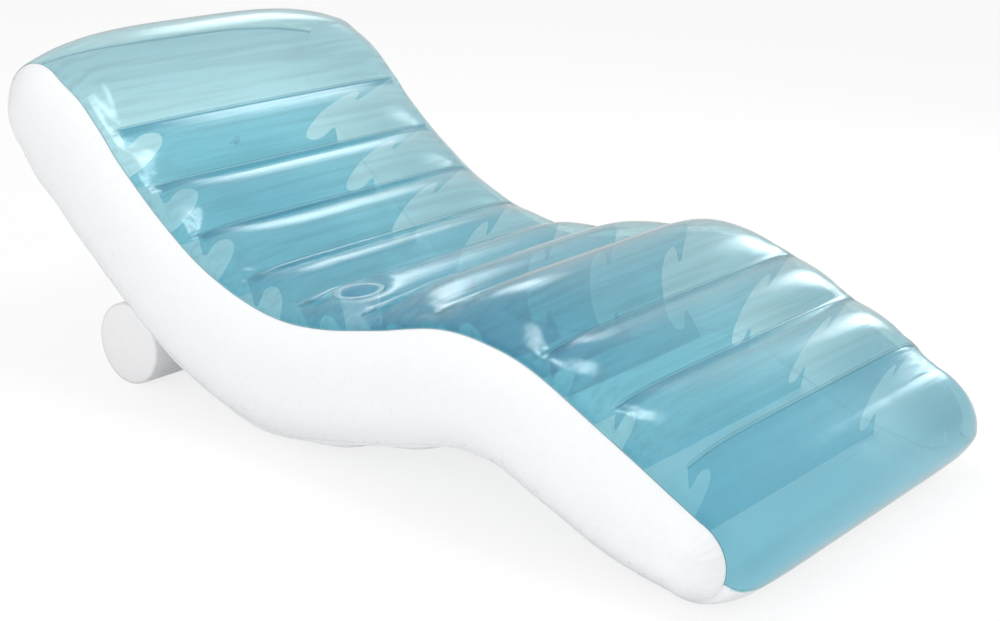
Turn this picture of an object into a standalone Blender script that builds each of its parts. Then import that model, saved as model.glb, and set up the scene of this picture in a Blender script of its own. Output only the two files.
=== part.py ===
"""Wave-shaped inflatable pool lounge with its bolster, cup pocket and two air valves.

Metres, +Z up. The length runs along Y, with the foot end at -Y and the head end at +Y. The
origin lies on the surface that the lounge rests on, under the middle of its box.
"""

import math

import bmesh
import bpy
from mathutils import Matrix, Vector

# The vinyl sheet, and the gap between touching pieces
SHEET = 0.0004
GAP = 0.0003

# The air chamber
LOUNGE_LENGTH = 1.84
WAVE_RISE = 0.485
LOW_SPINE = 0.075
HALF_DEPTH = 0.115
SEAM_HALF_WIDTH = 0.45
SIDE_BULGE = 0.05
HEAD_NOSE = 0.1
FOOT_NOSE = 0.078
SEAM_LAP = 0.004

# The welds of the baffles, and the air channels between them
WELD_END = 0.42
WELD_RISE = 0.04
BOTTOM_WELD_RISE = 0.018
HEAD_CROWN = 0.046
FOOT_CROWN = 0.045
NOTCH_REACH = 0.115
NOTCH_DEPTH = 0.065

# The cup pocket
CUP_RADIUS = 0.0405
CUP_FLOOR_RADIUS = 0.036
CUP_DEPTH = 0.095
CUP_FROM_MIDDLE = 0.33
RIM_WIDTH = 0.009
RIM_INSET = 0.0025
RIM_THICKNESS = 0.0008
FLOOR_LIP = 0.002

# The bolster under the back
BOLSTER_RADIUS = 0.09
BOLSTER_LENGTH = 0.84
BOLSTER_PUFF = 0.006
END_FLAT = 0.03
END_SHOULDER_SHARES = (0.67, 0.6)
STRIP_THICKNESS = 0.0008
STRIP_WIDTH = 0.024
STRIP_LENGTH = 0.7

# The air valves
FLANGE_RADIUS = 0.016
FLANGE_THICKNESS = 0.0008
STEM_RADIUS = 0.008
BORE_RADIUS = 0.0046
STEM_LENGTH = 0.014
STEM_RIM_RADIUS = 0.01
STEM_RIM_THICKNESS = 0.0012
PLUG_CAP_RADIUS = 0.0075
PLUG_CAP_THICKNESS = 0.0012
PLUG_LENGTH = 0.006
PLUG_RADIUS = 0.0042
PLUG_TIP_RADIUS = 0.003
STRAP_REACH = 0.014
STRAP_WIDTH = 0.004
STRAP_BARREL_RADIUS = 0.0009
LUG_OVERHANG = 0.001
FLAP_THICKNESS = 0.0005
FLAP_RADIUS = 0.006
HOLE_CLEARANCE = 0.0006
SEAT_MARGIN = 0.004
CUT_OVERRUN = 0.004

# The spine from the head nose to the foot nose: along, up, half depth
SPINE_SHARES = (
    (0.443, 1.0, 0.94), (0.411, 0.9, 1.06), (0.378, 0.8, 1.03), (0.345, 0.686, 1.0),
    (0.278, 0.489, 0.99), (0.209, 0.32, 1.01), (0.135, 0.206, 1.035), (0.064, 0.159, 1.035),
    (-0.008, 0.188, 0.973), (-0.092, 0.262, 0.956), (-0.168, 0.34, 0.956), (-0.217, 0.344, 0.93),
    (-0.261, 0.309, 0.904), (-0.329, 0.198, 0.86), (-0.397, 0.089, 0.8), (-0.459, 0.012, 0.65),
)
SPINE_STEPS = 24

# Each weld's place along the spine, and its rise over the seams as a share of WELD_RISE
WELD_PLACE_SHARES = (0.09, 0.177, 0.263, 0.367, 0.478, 0.579, 0.681, 0.783, 0.864, 0.96)
WELD_RISE_SHARES = (0.5, 0.6, 0.85, 0.95, 0.95, 0.8, 0.7, 1.1, 1.4, 1.7)
BOTTOM_RISE_SHARES = (0.4, 0.4, 0.5, 1.0, 1.0, 0.7, 0.6, 0.6, 0.6, 0.3)
CROWN_SHARE = 0.16
BOTTOM_CROWN_SHARE = 0.08
RESTING_CROWN_SHARE = 0.2
CAP_FADE = 3
CHANNEL_ROW_SHARES = (0.25, 0.5, 0.75)
CUP_CHANNEL = 4
CUP_CROWN_SHARE = 0.9
ARCH_WELD = 7

# Heights across the sheet, from the middle to the seam, at the grid's columns
RISE_ACROSS_SHARES = (1.0, 0.98, 0.84, 0.68, 0.0, 0.0)
CROWN_ACROSS_SHARES = (1.0, 0.95, 0.62, 0.34, 0.0, 0.0)
HEAD_ACROSS_SHARES = (1.0, 0.96, 0.74, 0.38, 0.0, 0.0)
FOOT_ACROSS_SHARES = (1.0, 0.98, 0.88, 0.72, 0.0, 0.0)

# The side panel's rings, from the seam to the flat middle
RING_SHARES = (1.0, 0.965, 0.85, 0.6, 0.3)

# Angles round the noses, in degrees from the top seam curve
HEAD_SEAM_ANGLE = 95.0
FOOT_SEAM_ANGLE = 92.0
HEAD_TOP_ANGLES = (70.0, 46.0, 22.0, 0.0)
FOOT_TOP_ANGLES = (0.0, 32.0, 64.0)
FOOT_BOTTOM_ANGLES = (114.0, 134.0, 152.0, 168.0)
HEAD_BOTTOM_ANGLES = (180.0, 152.0, 122.0)
HEAD_ROW_SHARE = 0.5
FOOT_ROW_SHARE = 0.5

# The notch at a baffle's end: inward as a share of its reach, down as a share of its depth
NOTCH_SHARES = (
    (0.02, 0.33), (0.1, 0.66), (0.19, 0.56), (0.26, 0.3), (0.42, 0.15), (0.66, 0.2), (0.88, 0.52), (1.0, 1.0),
)

ROUND_STEPS = 24
CUP_STEPS = 40
BOLSTER_STEPS = 32
SETTLE_LIMIT = math.radians(5.0)
SETTLE_ROUNDS = 50

AQUA = (0.3, 0.66, 0.72, 0.55)
PALE_AQUA = (0.42, 0.76, 0.82, 0.5)
POCKET_BLUE = (0.2, 0.52, 0.68, 0.6)
WHITE = (0.88, 0.88, 0.88, 1.0)
VALVE_CLEAR = (0.75, 0.8, 0.82, 0.7)

# The grid's columns: the cup's ring lies on one flat facet between two of them
CUP_SEAT_HALF = CUP_RADIUS + RIM_WIDTH + SEAT_MARGIN
COLUMNS = (
    0.0, CUP_FROM_MIDDLE - CUP_SEAT_HALF, CUP_FROM_MIDDLE + CUP_SEAT_HALF, WELD_END, SEAM_HALF_WIDTH,
)
VALVE_SEAT_HALF = FLANGE_RADIUS + SEAT_MARGIN


class Row:
    """One point of the closed side outline, with the sheet's height there."""

    def __init__(self, point, foot, normal, anchor=None, lift=0.0):
        self.point = point
        self.foot = foot
        self.normal = normal
        self.anchor = anchor
        self.lift = lift
        self.rise = 0.0
        self.crown = 0.0
        self.across_shares = CROWN_ACROSS_SHARES

    def place(self, matrix):
        """Moves the row with a matrix in the side view's plane."""
        self.point = matrix @ self.point
        self.foot = matrix @ self.foot
        self.normal = matrix.to_3x3() @ self.normal

    def surface(self, column):
        """Gives the sheet's outer point at a grid column, on the right or left by the sign."""
        index = abs(column)
        height = self.rise * RISE_ACROSS_SHARES[index] + self.crown * self.across_shares[index]
        base = self.point + self.normal * height
        across = COLUMNS[min(index, len(COLUMNS) - 1)]
        if index == len(COLUMNS):
            base = self.foot + (self.point - self.foot) * RING_SHARES[1]
            across += ring_bulge(RING_SHARES[1])
        return Vector((math.copysign(across, column), base.y, base.z))


def ring_bulge(share):
    """Gives how far a ring of the side panel stands out from the seam."""
    return SIDE_BULGE * (1.0 - share * share)


def make_spine():
    """Samples the smooth spine: each sample is half depth, along and up."""
    marks = [
        Vector((depth * HALF_DEPTH, along * LOUNGE_LENGTH, LOW_SPINE + up * WAVE_RISE))
        for along, up, depth in SPINE_SHARES
    ]
    marks = [marks[0] * 2.0 - marks[1]] + marks + [marks[-1] * 2.0 - marks[-2]]
    samples = []
    for before, start, end, after in zip(marks, marks[1:], marks[2:], marks[3:]):
        for step in range(SPINE_STEPS):
            share = step / SPINE_STEPS
            linear = (end - before) * share
            square = (before * 2.0 - start * 5.0 + end * 4.0 - after) * share ** 2
            cube = (start * 3.0 - before - end * 3.0 + after) * share ** 3
            samples.append((start * 2.0 + linear + square + cube) * 0.5)
    samples.append(marks[-2])
    return samples


SPINE = make_spine()
SPINE_RUN = [0.0]
for sample, following in zip(SPINE, SPINE[1:]):
    SPINE_RUN.append(SPINE_RUN[-1] + (following - sample).yz.length)


def spine_at(share):
    """Gives the spine's centre, upward normal, footward tangent and half depth at a share of its run."""
    target = share * SPINE_RUN[-1]
    index = 0
    while index < len(SPINE) - 2 and SPINE_RUN[index + 1] < target:
        index += 1
    part = (target - SPINE_RUN[index]) / (SPINE_RUN[index + 1] - SPINE_RUN[index])
    sample = SPINE[index].lerp(SPINE[index + 1], part)
    low = SPINE[max(index - 1, 0)]
    high = SPINE[min(index + 2, len(SPINE) - 1)]
    tangent = Vector((0.0, high.y - low.y, high.z - low.z)).normalized()
    normal = Vector((0.0, tangent.z, -tangent.y))
    return Vector((0.0, sample.y, sample.z)), normal, tangent, sample.x


def spine_row(share, side, anchor=None):
    """Makes a row on the top (side 1) or bottom (side -1) of the chamber."""
    centre, normal, _, depth = spine_at(share)
    return Row(centre + normal * (side * depth), centre, normal * side, anchor)


def nose_row(end, degrees, slide=0.0, lift=0.0):
    """Makes a row round the head nose (end 0) or foot nose (end 1), slid on along the sheet."""
    centre, normal, tangent, depth = spine_at(end)
    outward = tangent if end else -tangent
    length = FOOT_NOSE if end else HEAD_NOSE
    angle = math.radians(degrees)
    angle += slide / math.hypot(depth * math.sin(angle), length * math.cos(angle))
    point = centre + normal * (depth * math.cos(angle)) + outward * (length * math.sin(angle))
    lean = normal * (math.cos(angle) / depth) + outward * (math.sin(angle) / length)
    return Row(point, centre, lean.normalized(), None, lift)


def between(first, last, shares):
    """Gives the places at the given shares of the way from first to last."""
    return [first + (last - first) * share for share in shares]


def top_rows():
    """Lists the top sheet's rows from its head seam to its foot seam."""
    rows = [nose_row(0, HEAD_SEAM_ANGLE), nose_row(0, HEAD_SEAM_ANGLE, -SEAM_LAP)]
    rows += [nose_row(0, angle) for angle in HEAD_TOP_ANGLES]
    rows.append(spine_row(WELD_PLACE_SHARES[0] * HEAD_ROW_SHARE, 1))
    for index, place in enumerate(WELD_PLACE_SHARES):
        rows.append(spine_row(place, 1, WELD_RISE * WELD_RISE_SHARES[index]))
        if index < len(WELD_PLACE_SHARES) - 1:
            onward = WELD_PLACE_SHARES[index + 1]
            shares = CHANNEL_ROW_SHARES
            if index == CUP_CHANNEL:
                half = CUP_SEAT_HALF / ((onward - place) * SPINE_RUN[-1])
                shares = (0.5 - half, 0.5 + half)
            rows += [spine_row(spot, 1) for spot in between(place, onward, shares)]
    rows += [nose_row(1, angle) for angle in FOOT_TOP_ANGLES]
    rows += [nose_row(1, FOOT_SEAM_ANGLE, -SEAM_LAP), nose_row(1, FOOT_SEAM_ANGLE)]
    return rows


def bottom_rows():
    """Lists the bottom sheet's rows from its foot seam back to its head seam."""
    over = GAP + SHEET
    rows = [
        nose_row(1, FOOT_SEAM_ANGLE, -SEAM_LAP, lift=over),
        nose_row(1, FOOT_SEAM_ANGLE, lift=over),
        nose_row(1, FOOT_SEAM_ANGLE, SEAM_LAP),
    ]
    rows += [nose_row(1, angle) for angle in FOOT_BOTTOM_ANGLES]
    rows += [spine_row(spot, -1) for spot in between(1.0, WELD_PLACE_SHARES[-1], (FOOT_ROW_SHARE,))]
    for index in reversed(range(len(WELD_PLACE_SHARES))):
        place = WELD_PLACE_SHARES[index]
        rows.append(spine_row(place, -1, BOTTOM_WELD_RISE * BOTTOM_RISE_SHARES[index]))
        if index:
            headward = WELD_PLACE_SHARES[index - 1]
            rows += [spine_row(spot, -1) for spot in between(place, headward, CHANNEL_ROW_SHARES)]
    half = VALVE_SEAT_HALF / SPINE_RUN[-1]
    middle = WELD_PLACE_SHARES[0] * HEAD_ROW_SHARE
    rows += [spine_row(middle + half, -1), spine_row(middle - half, -1)]
    rows += [nose_row(0, angle) for angle in HEAD_BOTTOM_ANGLES]
    rows += [
        nose_row(0, HEAD_SEAM_ANGLE, SEAM_LAP),
        nose_row(0, HEAD_SEAM_ANGLE, lift=over),
        nose_row(0, HEAD_SEAM_ANGLE, -SEAM_LAP, lift=over),
    ]
    return rows


def puff(top, bottom):
    """Sets each row's weld rise and channel crown round the closed outline."""
    loop = top[1:-1] + bottom[1:-1]
    first = next(index for index, row in enumerate(loop) if row.anchor)
    loop = loop[first:] + loop[:first + 1]
    run = [0.0]
    for row, following in zip(loop, loop[1:]):
        run.append(run[-1] + (following.point - row.point).length)
    anchors = [index for index, row in enumerate(loop) if row.anchor]
    count = len(WELD_PLACE_SHARES)
    for number, (start, end) in enumerate(zip(anchors, anchors[1:]), start=1):
        length = run[end] - run[start]
        crown = (CROWN_SHARE if number < count else BOTTOM_CROWN_SHARE) * length
        crown = {count: FOOT_CROWN, 2 * count: HEAD_CROWN}.get(number, crown)
        for row, place in zip(loop[start:end], run[start:end]):
            share = (place - run[start]) / length
            fade = 1 if number % count else CAP_FADE
            row.rise = loop[start].anchor * (1.0 - share) ** fade + loop[end].anchor * share ** fade
            row.crown = crown * math.sin(math.pi * share)
            row.across_shares = {count: FOOT_ACROSS_SHARES, 2 * count: HEAD_ACROSS_SHARES}.get(
                number, CROWN_ACROSS_SHARES
            )
            if number == count:
                row.crown *= 1.0 + (1.0 - RESTING_CROWN_SHARE) * min(row.normal.z, 0.0)
    for row, twin in ((top[0], bottom[-2]), (top[-1], bottom[1]), (bottom[0], top[-2]), (bottom[-1], top[1])):
        row.rise = twin.rise
        row.crown = twin.crown
        row.across_shares = twin.across_shares


def outer_middle(row, matrix):
    """Gives the sheet's outer point on the lounge's middle line once the row is placed."""
    height = row.rise + row.crown + row.lift + GAP + SHEET
    return matrix @ (row.point + row.normal * height)


def flat_level(rows, matrix):
    """Gives the height at which the lowest strip between two rows is flat."""
    heights = [outer_middle(row, matrix).z for row in rows]
    return min(max(pair) for pair in zip(heights, heights[1:]))


def settle(top, bottom):
    """Turns and moves the outline so that flats under foot and seat rest on the floor."""
    arch = bottom.index([row for row in bottom if row.anchor][-1 - ARCH_WELD])
    low, high = -SETTLE_LIMIT, SETTLE_LIMIT
    for _ in range(SETTLE_ROUNDS):
        turn = Matrix.Rotation((low + high) / 2.0, 4, "X")
        if flat_level(bottom[:arch], turn) > flat_level(bottom[arch:], turn):
            low = (low + high) / 2.0
        else:
            high = (low + high) / 2.0
    spots = [outer_middle(row, turn) for row in top + bottom]
    floor = flat_level(bottom, turn)
    middle = (min(spot.y for spot in spots) + max(spot.y for spot in spots)) / 2.0
    shift = Matrix.Translation((0.0, -middle, -floor))
    for row in top + bottom:
        row.place(shift @ turn)


def new_collection(name):
    """Makes a collection in the scene."""
    collection = bpy.data.collections.new(name)
    bpy.context.scene.collection.children.link(collection)
    return collection


def vinyl(name, colour, roughness=0.25):
    """Makes a material with the sheet's colour and gloss."""
    material = bpy.data.materials.new(name)
    material.use_nodes = True
    shader = material.node_tree.nodes["Principled BSDF"]
    shader.inputs["Base Color"].default_value = (*colour[:3], 1.0)
    shader.inputs["Alpha"].default_value = colour[3]
    shader.inputs["Roughness"].default_value = roughness
    shader.inputs["Metallic"].default_value = 0.0
    return material


def add_object(name, data, collection, colour=None, parent=None):
    """Links a new object and gives it its own material."""
    thing = bpy.data.objects.new(name, data)
    collection.objects.link(thing)
    thing.parent = parent
    if colour:
        data.materials.append(vinyl(name, colour))
    return thing


def mesh_from(bm, name):
    """Turns a bmesh into a mesh and frees it."""
    mesh = bpy.data.meshes.new(name)
    bm.to_mesh(mesh)
    bm.free()
    return mesh


def solidify(thing, thickness=SHEET):
    """Gives an open surface its sheet thickness on the inner side."""
    modifier = thing.modifiers.new("sheet thickness", "SOLIDIFY")
    modifier.thickness = thickness
    modifier.offset = -1.0
    modifier.use_even_offset = True


def boolean(thing, tool, operation="DIFFERENCE"):
    """Cuts or joins an object with a tool that stays out of the model."""
    modifier = thing.modifiers.new(tool.name, "BOOLEAN")
    modifier.operation = operation
    modifier.object = tool
    tool.hide_render = True
    tool.display_type = "WIRE"


def panel(name, rows, collection, colour):
    """Makes a channelled sheet on the grid of rows and columns."""
    count = len(COLUMNS)
    columns = [-index for index in range(count, 0, -1)] + list(range(count + 1))
    bm = bmesh.new()
    grid = [[bm.verts.new(row.surface(column)) for column in columns] for row in rows]
    for row, following in zip(grid, grid[1:]):
        for left, right, far_left, far_right in zip(row, row[1:], following, following[1:]):
            bm.faces.new((left, far_left, far_right, right))
    bm.normal_update()
    offsets = [vert.normal.copy() for vert in bm.verts]
    outward = sum(offset.dot(rows[index // len(columns)].normal) for index, offset in enumerate(offsets))
    if outward < 0.0:
        bmesh.ops.reverse_faces(bm, faces=bm.faces)
        offsets = [-offset for offset in offsets]
    for index, (vert, offset) in enumerate(zip(bm.verts, offsets)):
        vert.co += offset * (GAP + SHEET + rows[index // len(columns)].lift)
        vert.co.z = max(vert.co.z, 0.0)
    thing = add_object(name, mesh_from(bm, name), collection, colour)
    solidify(thing)
    return thing


def side_panel(name, rows, side, collection):
    """Makes a bulging side sheet from the seam to its flat middle."""
    bm = bmesh.new()
    rings = []
    for share in RING_SHARES:
        across = side * (SEAM_HALF_WIDTH + ring_bulge(share))
        spots = [row.foot + (row.point - row.foot) * share for row in rows]
        rings.append([bm.verts.new((across, spot.y, spot.z)) for spot in spots])
    for ring, inner in zip(rings, rings[1:]):
        for index in range(len(ring)):
            following = (index + 1) % len(ring)
            bm.faces.new((ring[index], ring[following], inner[following], inner[index]))
    bm.faces.new(rings[-1])
    bmesh.ops.recalc_face_normals(bm, faces=bm.faces)
    bm.normal_update()
    middle = max(bm.faces, key=lambda face: abs(face.calc_center_median().x))
    if middle.normal.x * side < 0.0:
        bmesh.ops.reverse_faces(bm, faces=bm.faces)
    thing = add_object(name, mesh_from(bm, name), collection, WHITE)
    solidify(thing)
    return thing


def baffle(name, top, bottom, collection):
    """Makes one baffle: a flat sheet between two welds, notched round at both ends."""
    half = (top.point - top.foot).length
    low_half = (bottom.point - bottom.foot).length
    spots = []
    for index, across in enumerate(COLUMNS[:4]):
        spots.append((across, half + top.rise * RISE_ACROSS_SHARES[index] - GAP / 2.0))
    ceiling = spots[-1][1]
    floor = -low_half - bottom.rise * RISE_ACROSS_SHARES[3] + GAP / 2.0
    notch = [(WELD_END - inward * NOTCH_REACH, down * NOTCH_DEPTH) for inward, down in NOTCH_SHARES]
    spots += [(across, ceiling - down) for across, down in notch]
    spots += [(across, floor + down) for across, down in reversed(notch)]
    for index in (3, 2, 1, 0):
        across = COLUMNS[index]
        spots.append((across, -low_half - bottom.rise * RISE_ACROSS_SHARES[index] + GAP / 2.0))
    outline = spots + [(-across, up) for across, up in reversed(spots[1:-1])]
    curve = bpy.data.curves.new(name, "CURVE")
    curve.dimensions = "2D"
    curve.fill_mode = "BOTH"
    curve.extrude = SHEET / 2.0
    spline = curve.splines.new("POLY")
    spline.points.add(len(outline) - 1)
    for point, (across, up) in zip(spline.points, outline):
        point.co = (across, up, 0.0, 1.0)
    spline.use_cyclic_u = True
    thing = add_object(name, curve, collection, PALE_AQUA)
    thing.location = top.foot
    thing.rotation_euler = (math.atan2(top.normal.z, top.normal.y), 0.0, 0.0)
    return thing


def turned(name, profile, steps, collection, colour=None, parent=None, closed=True):
    """Turns a profile of radius and height pairs round the local Z axis."""
    bm = bmesh.new()
    spots = [bm.verts.new((radius, 0.0, height)) for radius, height in profile]
    for start, end in zip(spots, spots[1:]):
        bm.edges.new((start, end))
    if closed:
        bm.edges.new((spots[-1], spots[0]))
    thing = add_object(name, mesh_from(bm, name), collection, colour, parent)
    screw = thing.modifiers.new("turn", "SCREW")
    screw.steps = steps
    screw.render_steps = steps
    screw.use_merge_vertices = True
    screw.merge_threshold = 0.00001
    return thing


def primitive(name, collection, radius, depth, matrix, tip=None, steps=ROUND_STEPS):
    """Makes a capped cylinder or cone along the matrix's Z axis, centred on it."""
    bm = bmesh.new()
    tip = radius if tip is None else tip
    bmesh.ops.create_cone(
        bm, cap_ends=True, segments=steps, radius1=tip, radius2=radius, depth=depth, matrix=matrix
    )
    return add_object(name, mesh_from(bm, name), collection)


def block(name, collection, size, centre, colour=None, parent=None):
    """Makes a box of the given size."""
    bm = bmesh.new()
    bmesh.ops.create_cube(bm, size=1.0, matrix=Matrix.Translation(centre) @ Matrix.Diagonal((*size, 1.0)))
    return add_object(name, mesh_from(bm, name), collection, colour, parent)


def facet_frame(corners):
    """Gives the frame that stands on a four-cornered facet, with Z along its outward normal."""
    first, second, third, fourth = corners
    centre = (first + second + third + fourth) / 4.0
    normal = (third - first).cross(fourth - second).normalized()
    across = Vector((1.0, 0.0, 0.0))
    across = (across - normal * across.dot(normal)).normalized()
    turn = Matrix((across, normal.cross(across), normal)).transposed()
    return Matrix.Translation(centre) @ turn.to_4x4()


def panel_facet(rows, first_row, columns):
    """Gives the corners of one outer facet, counter-clockwise seen from outside."""
    near, far = columns
    lower, upper = rows[first_row], rows[first_row + 1]
    lift = GAP + SHEET
    spots = [lower.surface(near), lower.surface(far), upper.surface(far), upper.surface(near)]
    return [spot + lower.normal.lerp(upper.normal, 0.5).normalized() * lift for spot in spots]


def empty_at(name, matrix, collection):
    """Makes an empty at a frame, which its pieces are parented to."""
    thing = add_object(name, None, collection)
    thing.matrix_world = matrix
    return thing


def cup_pocket(frame, panel_object, collection, cutters):
    """Makes the pocket's welded ring, wall and floor, and cuts its mouth in the top sheet."""
    base = empty_at("cup_frame", frame, cutters)
    hole = primitive("cup mouth cut", cutters, CUP_RADIUS, CUT_OVERRUN * 2.0, frame, steps=CUP_STEPS)
    boolean(panel_object, hole)
    inner = CUP_RADIUS - RIM_INSET
    outer = CUP_RADIUS + RIM_WIDTH
    ring = ((inner, GAP + RIM_THICKNESS), (outer, GAP + RIM_THICKNESS), (outer, GAP), (inner, GAP))
    turned("cup_rim", ring, CUP_STEPS, collection, POCKET_BLUE, base)
    top = CUP_RADIUS - GAP
    wall = (
        (top, 0.0), (CUP_FLOOR_RADIUS, -CUP_DEPTH),
        (CUP_FLOOR_RADIUS - SHEET, -CUP_DEPTH), (top - SHEET, 0.0),
    )
    turned("cup_wall", wall, CUP_STEPS, collection, POCKET_BLUE, base)
    edge = CUP_FLOOR_RADIUS + FLOOR_LIP
    under = -CUP_DEPTH - GAP
    floor = ((0.0, under), (edge, under), (edge, under - SHEET), (0.0, under - SHEET))
    turned("cup_floor", floor, CUP_STEPS, collection, POCKET_BLUE, base, closed=False)


def seat_bolster(rows):
    """Finds where the bolster touches its strip under the back."""
    still = Matrix.Identity(4)
    line = [outer_middle(row, still) for row in rows]
    height = BOLSTER_RADIUS * math.cos(math.pi / BOLSTER_STEPS)
    wanted = BOLSTER_RADIUS + STRIP_THICKNESS + 2.0 * GAP

    def nearest(along):
        centre = Vector((0.0, along, height))
        best = None
        for start, end in zip(line, line[1:]):
            share = (centre - start).dot(end - start) / (end - start).length_squared
            spot = start.lerp(end, min(max(share, 0.0), 1.0))
            if best is None or (spot - centre).length < (best - centre).length:
                best = spot
        return centre, best

    far = max(spot.y for spot in line)
    step = BOLSTER_RADIUS / ROUND_STEPS
    centre, touch = nearest(far)
    while (touch - centre).length > wanted:
        far -= step
        centre, touch = nearest(far)
    low, high = far, far + step
    for _ in range(SETTLE_ROUNDS):
        centre, touch = nearest((low + high) / 2.0)
        if (touch - centre).length > wanted:
            high = (low + high) / 2.0
        else:
            low = (low + high) / 2.0
    return centre, touch


def bolster(rows, collection, cutters):
    """Makes the bolster's wrap, its two end discs and the strip that joins it to the back."""
    centre, touch = seat_bolster(rows)
    half = BOLSTER_LENGTH / 2.0
    base = empty_at(
        "bolster_frame", Matrix.Translation(centre) @ Matrix.Rotation(math.radians(90.0), 4, "Y"), cutters
    )
    steps = BOLSTER_STEPS
    wrap = ((BOLSTER_RADIUS, half), (BOLSTER_RADIUS, -half))
    wrap_object = turned("bolster_wrap", wrap, steps, collection, WHITE, base, closed=False)
    wrap_object.rotation_euler = (0.0, 0.0, math.pi / steps)
    solidify(wrap_object)
    inside = BOLSTER_RADIUS - SHEET - GAP
    dome = half + BOLSTER_PUFF
    outward, upward = END_SHOULDER_SHARES
    shoulder = END_FLAT + (inside - END_FLAT) * outward
    cap = (
        (0.0, dome), (END_FLAT, dome), (shoulder, half + BOLSTER_PUFF * upward),
        (inside, half), (inside, half - SEAM_LAP),
    )
    ends = []
    for name, turn in (("bolster_right_end", math.pi), ("bolster_left_end", 0.0)):
        end = turned(name, cap, steps, collection, WHITE, base, closed=False)
        end.rotation_euler = (0.0, turn, math.pi / steps)
        solidify(end)
        ends.append(end)
    away = (centre - touch).normalized()
    strip = block(
        "bolster_weld_strip", collection, (STRIP_LENGTH, STRIP_WIDTH, STRIP_THICKNESS), (0.0, 0.0, 0.0), WHITE
    )
    strip.location = touch + away * (GAP + STRIP_THICKNESS / 2.0)
    strip.rotation_euler = (math.atan2(-away.y, away.z), 0.0, 0.0)
    valve_frame = base.matrix_world @ Matrix.Translation((0.0, 0.0, dome))
    return ends[1], valve_frame


def valve(prefix, frame, wall_object, collection, cutters):
    """Makes a valve: its welded flange, sliding stem, strapped plug and inner flap."""
    base = empty_at(prefix + "_frame", frame, cutters)
    hole_radius = STEM_RADIUS + HOLE_CLEARANCE
    boolean(wall_object, primitive(prefix + " hole cut", cutters, hole_radius, CUT_OVERRUN, frame))

    top = GAP + FLANGE_THICKNESS
    inner = STEM_RADIUS + GAP
    ring = ((inner, top), (FLANGE_RADIUS, top), (FLANGE_RADIUS, GAP), (inner, GAP))
    turned(prefix + "_flange", ring, ROUND_STEPS, collection, VALVE_CLEAR, base)

    seat = top + GAP
    rim = seat + STEM_RIM_THICKNESS
    profile = (
        (BORE_RADIUS, rim), (STEM_RIM_RADIUS, rim), (STEM_RIM_RADIUS, seat),
        (STEM_RADIUS, seat), (STEM_RADIUS, -STEM_LENGTH), (BORE_RADIUS, -STEM_LENGTH),
    )
    stem = turned(prefix + "_stem", profile, ROUND_STEPS, collection, VALVE_CLEAR, base)
    lug_start = (BORE_RADIUS + STEM_RIM_RADIUS) / 2.0
    lug_end = STRAP_REACH + LUG_OVERHANG
    lug_size = (lug_end - lug_start, STRAP_WIDTH, STEM_RIM_THICKNESS)
    lug = block(prefix + " lug", cutters, lug_size, ((lug_start + lug_end) / 2.0, 0.0, (seat + rim) / 2.0))
    lug.parent = base
    boolean(stem, lug, "UNION")

    barrel_height = rim + GAP + STRAP_BARREL_RADIUS
    cap_low = rim + GAP
    cap_high = cap_low + PLUG_CAP_THICKNESS
    to_hinge = cap_low - barrel_height
    spots = (
        (0.0, cap_high - barrel_height), (PLUG_CAP_RADIUS, cap_high - barrel_height),
        (PLUG_CAP_RADIUS, to_hinge), (PLUG_RADIUS, to_hinge), (PLUG_TIP_RADIUS, to_hinge - PLUG_LENGTH),
        (0.0, to_hinge - PLUG_LENGTH),
    )
    plug = turned(prefix + "_plug_cap", spots, ROUND_STEPS, cutters, None, base, closed=False)
    plug.location = (0.0, 0.0, barrel_height)
    strap_start = PLUG_CAP_RADIUS / 2.0 - STRAP_REACH
    strap_size = (-strap_start, STRAP_WIDTH, PLUG_CAP_THICKNESS)
    strap_centre = (strap_start / 2.0, 0.0, to_hinge + PLUG_CAP_THICKNESS / 2.0)
    strapped = block(prefix + "_plug", collection, strap_size, strap_centre, VALVE_CLEAR, base)
    strapped.location = (STRAP_REACH, 0.0, barrel_height)
    barrel = primitive(
        prefix + " strap barrel", cutters, STRAP_BARREL_RADIUS, STRAP_WIDTH - GAP,
        Matrix.Rotation(math.radians(90.0), 4, "X"), steps=ROUND_STEPS // 2,
    )
    barrel.parent = strapped
    boolean(strapped, barrel, "UNION")
    boolean(strapped, plug, "UNION")

    disc = primitive(
        prefix + "_flap", collection, FLAP_RADIUS, FLAP_THICKNESS,
        Matrix.Translation((-FLAP_RADIUS, 0.0, 0.0)),
    )
    disc.data.materials.append(vinyl(disc.name, VALVE_CLEAR))
    disc.parent = base
    disc.location = (FLAP_RADIUS, 0.0, -STEM_LENGTH - GAP - FLAP_THICKNESS / 2.0)


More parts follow.
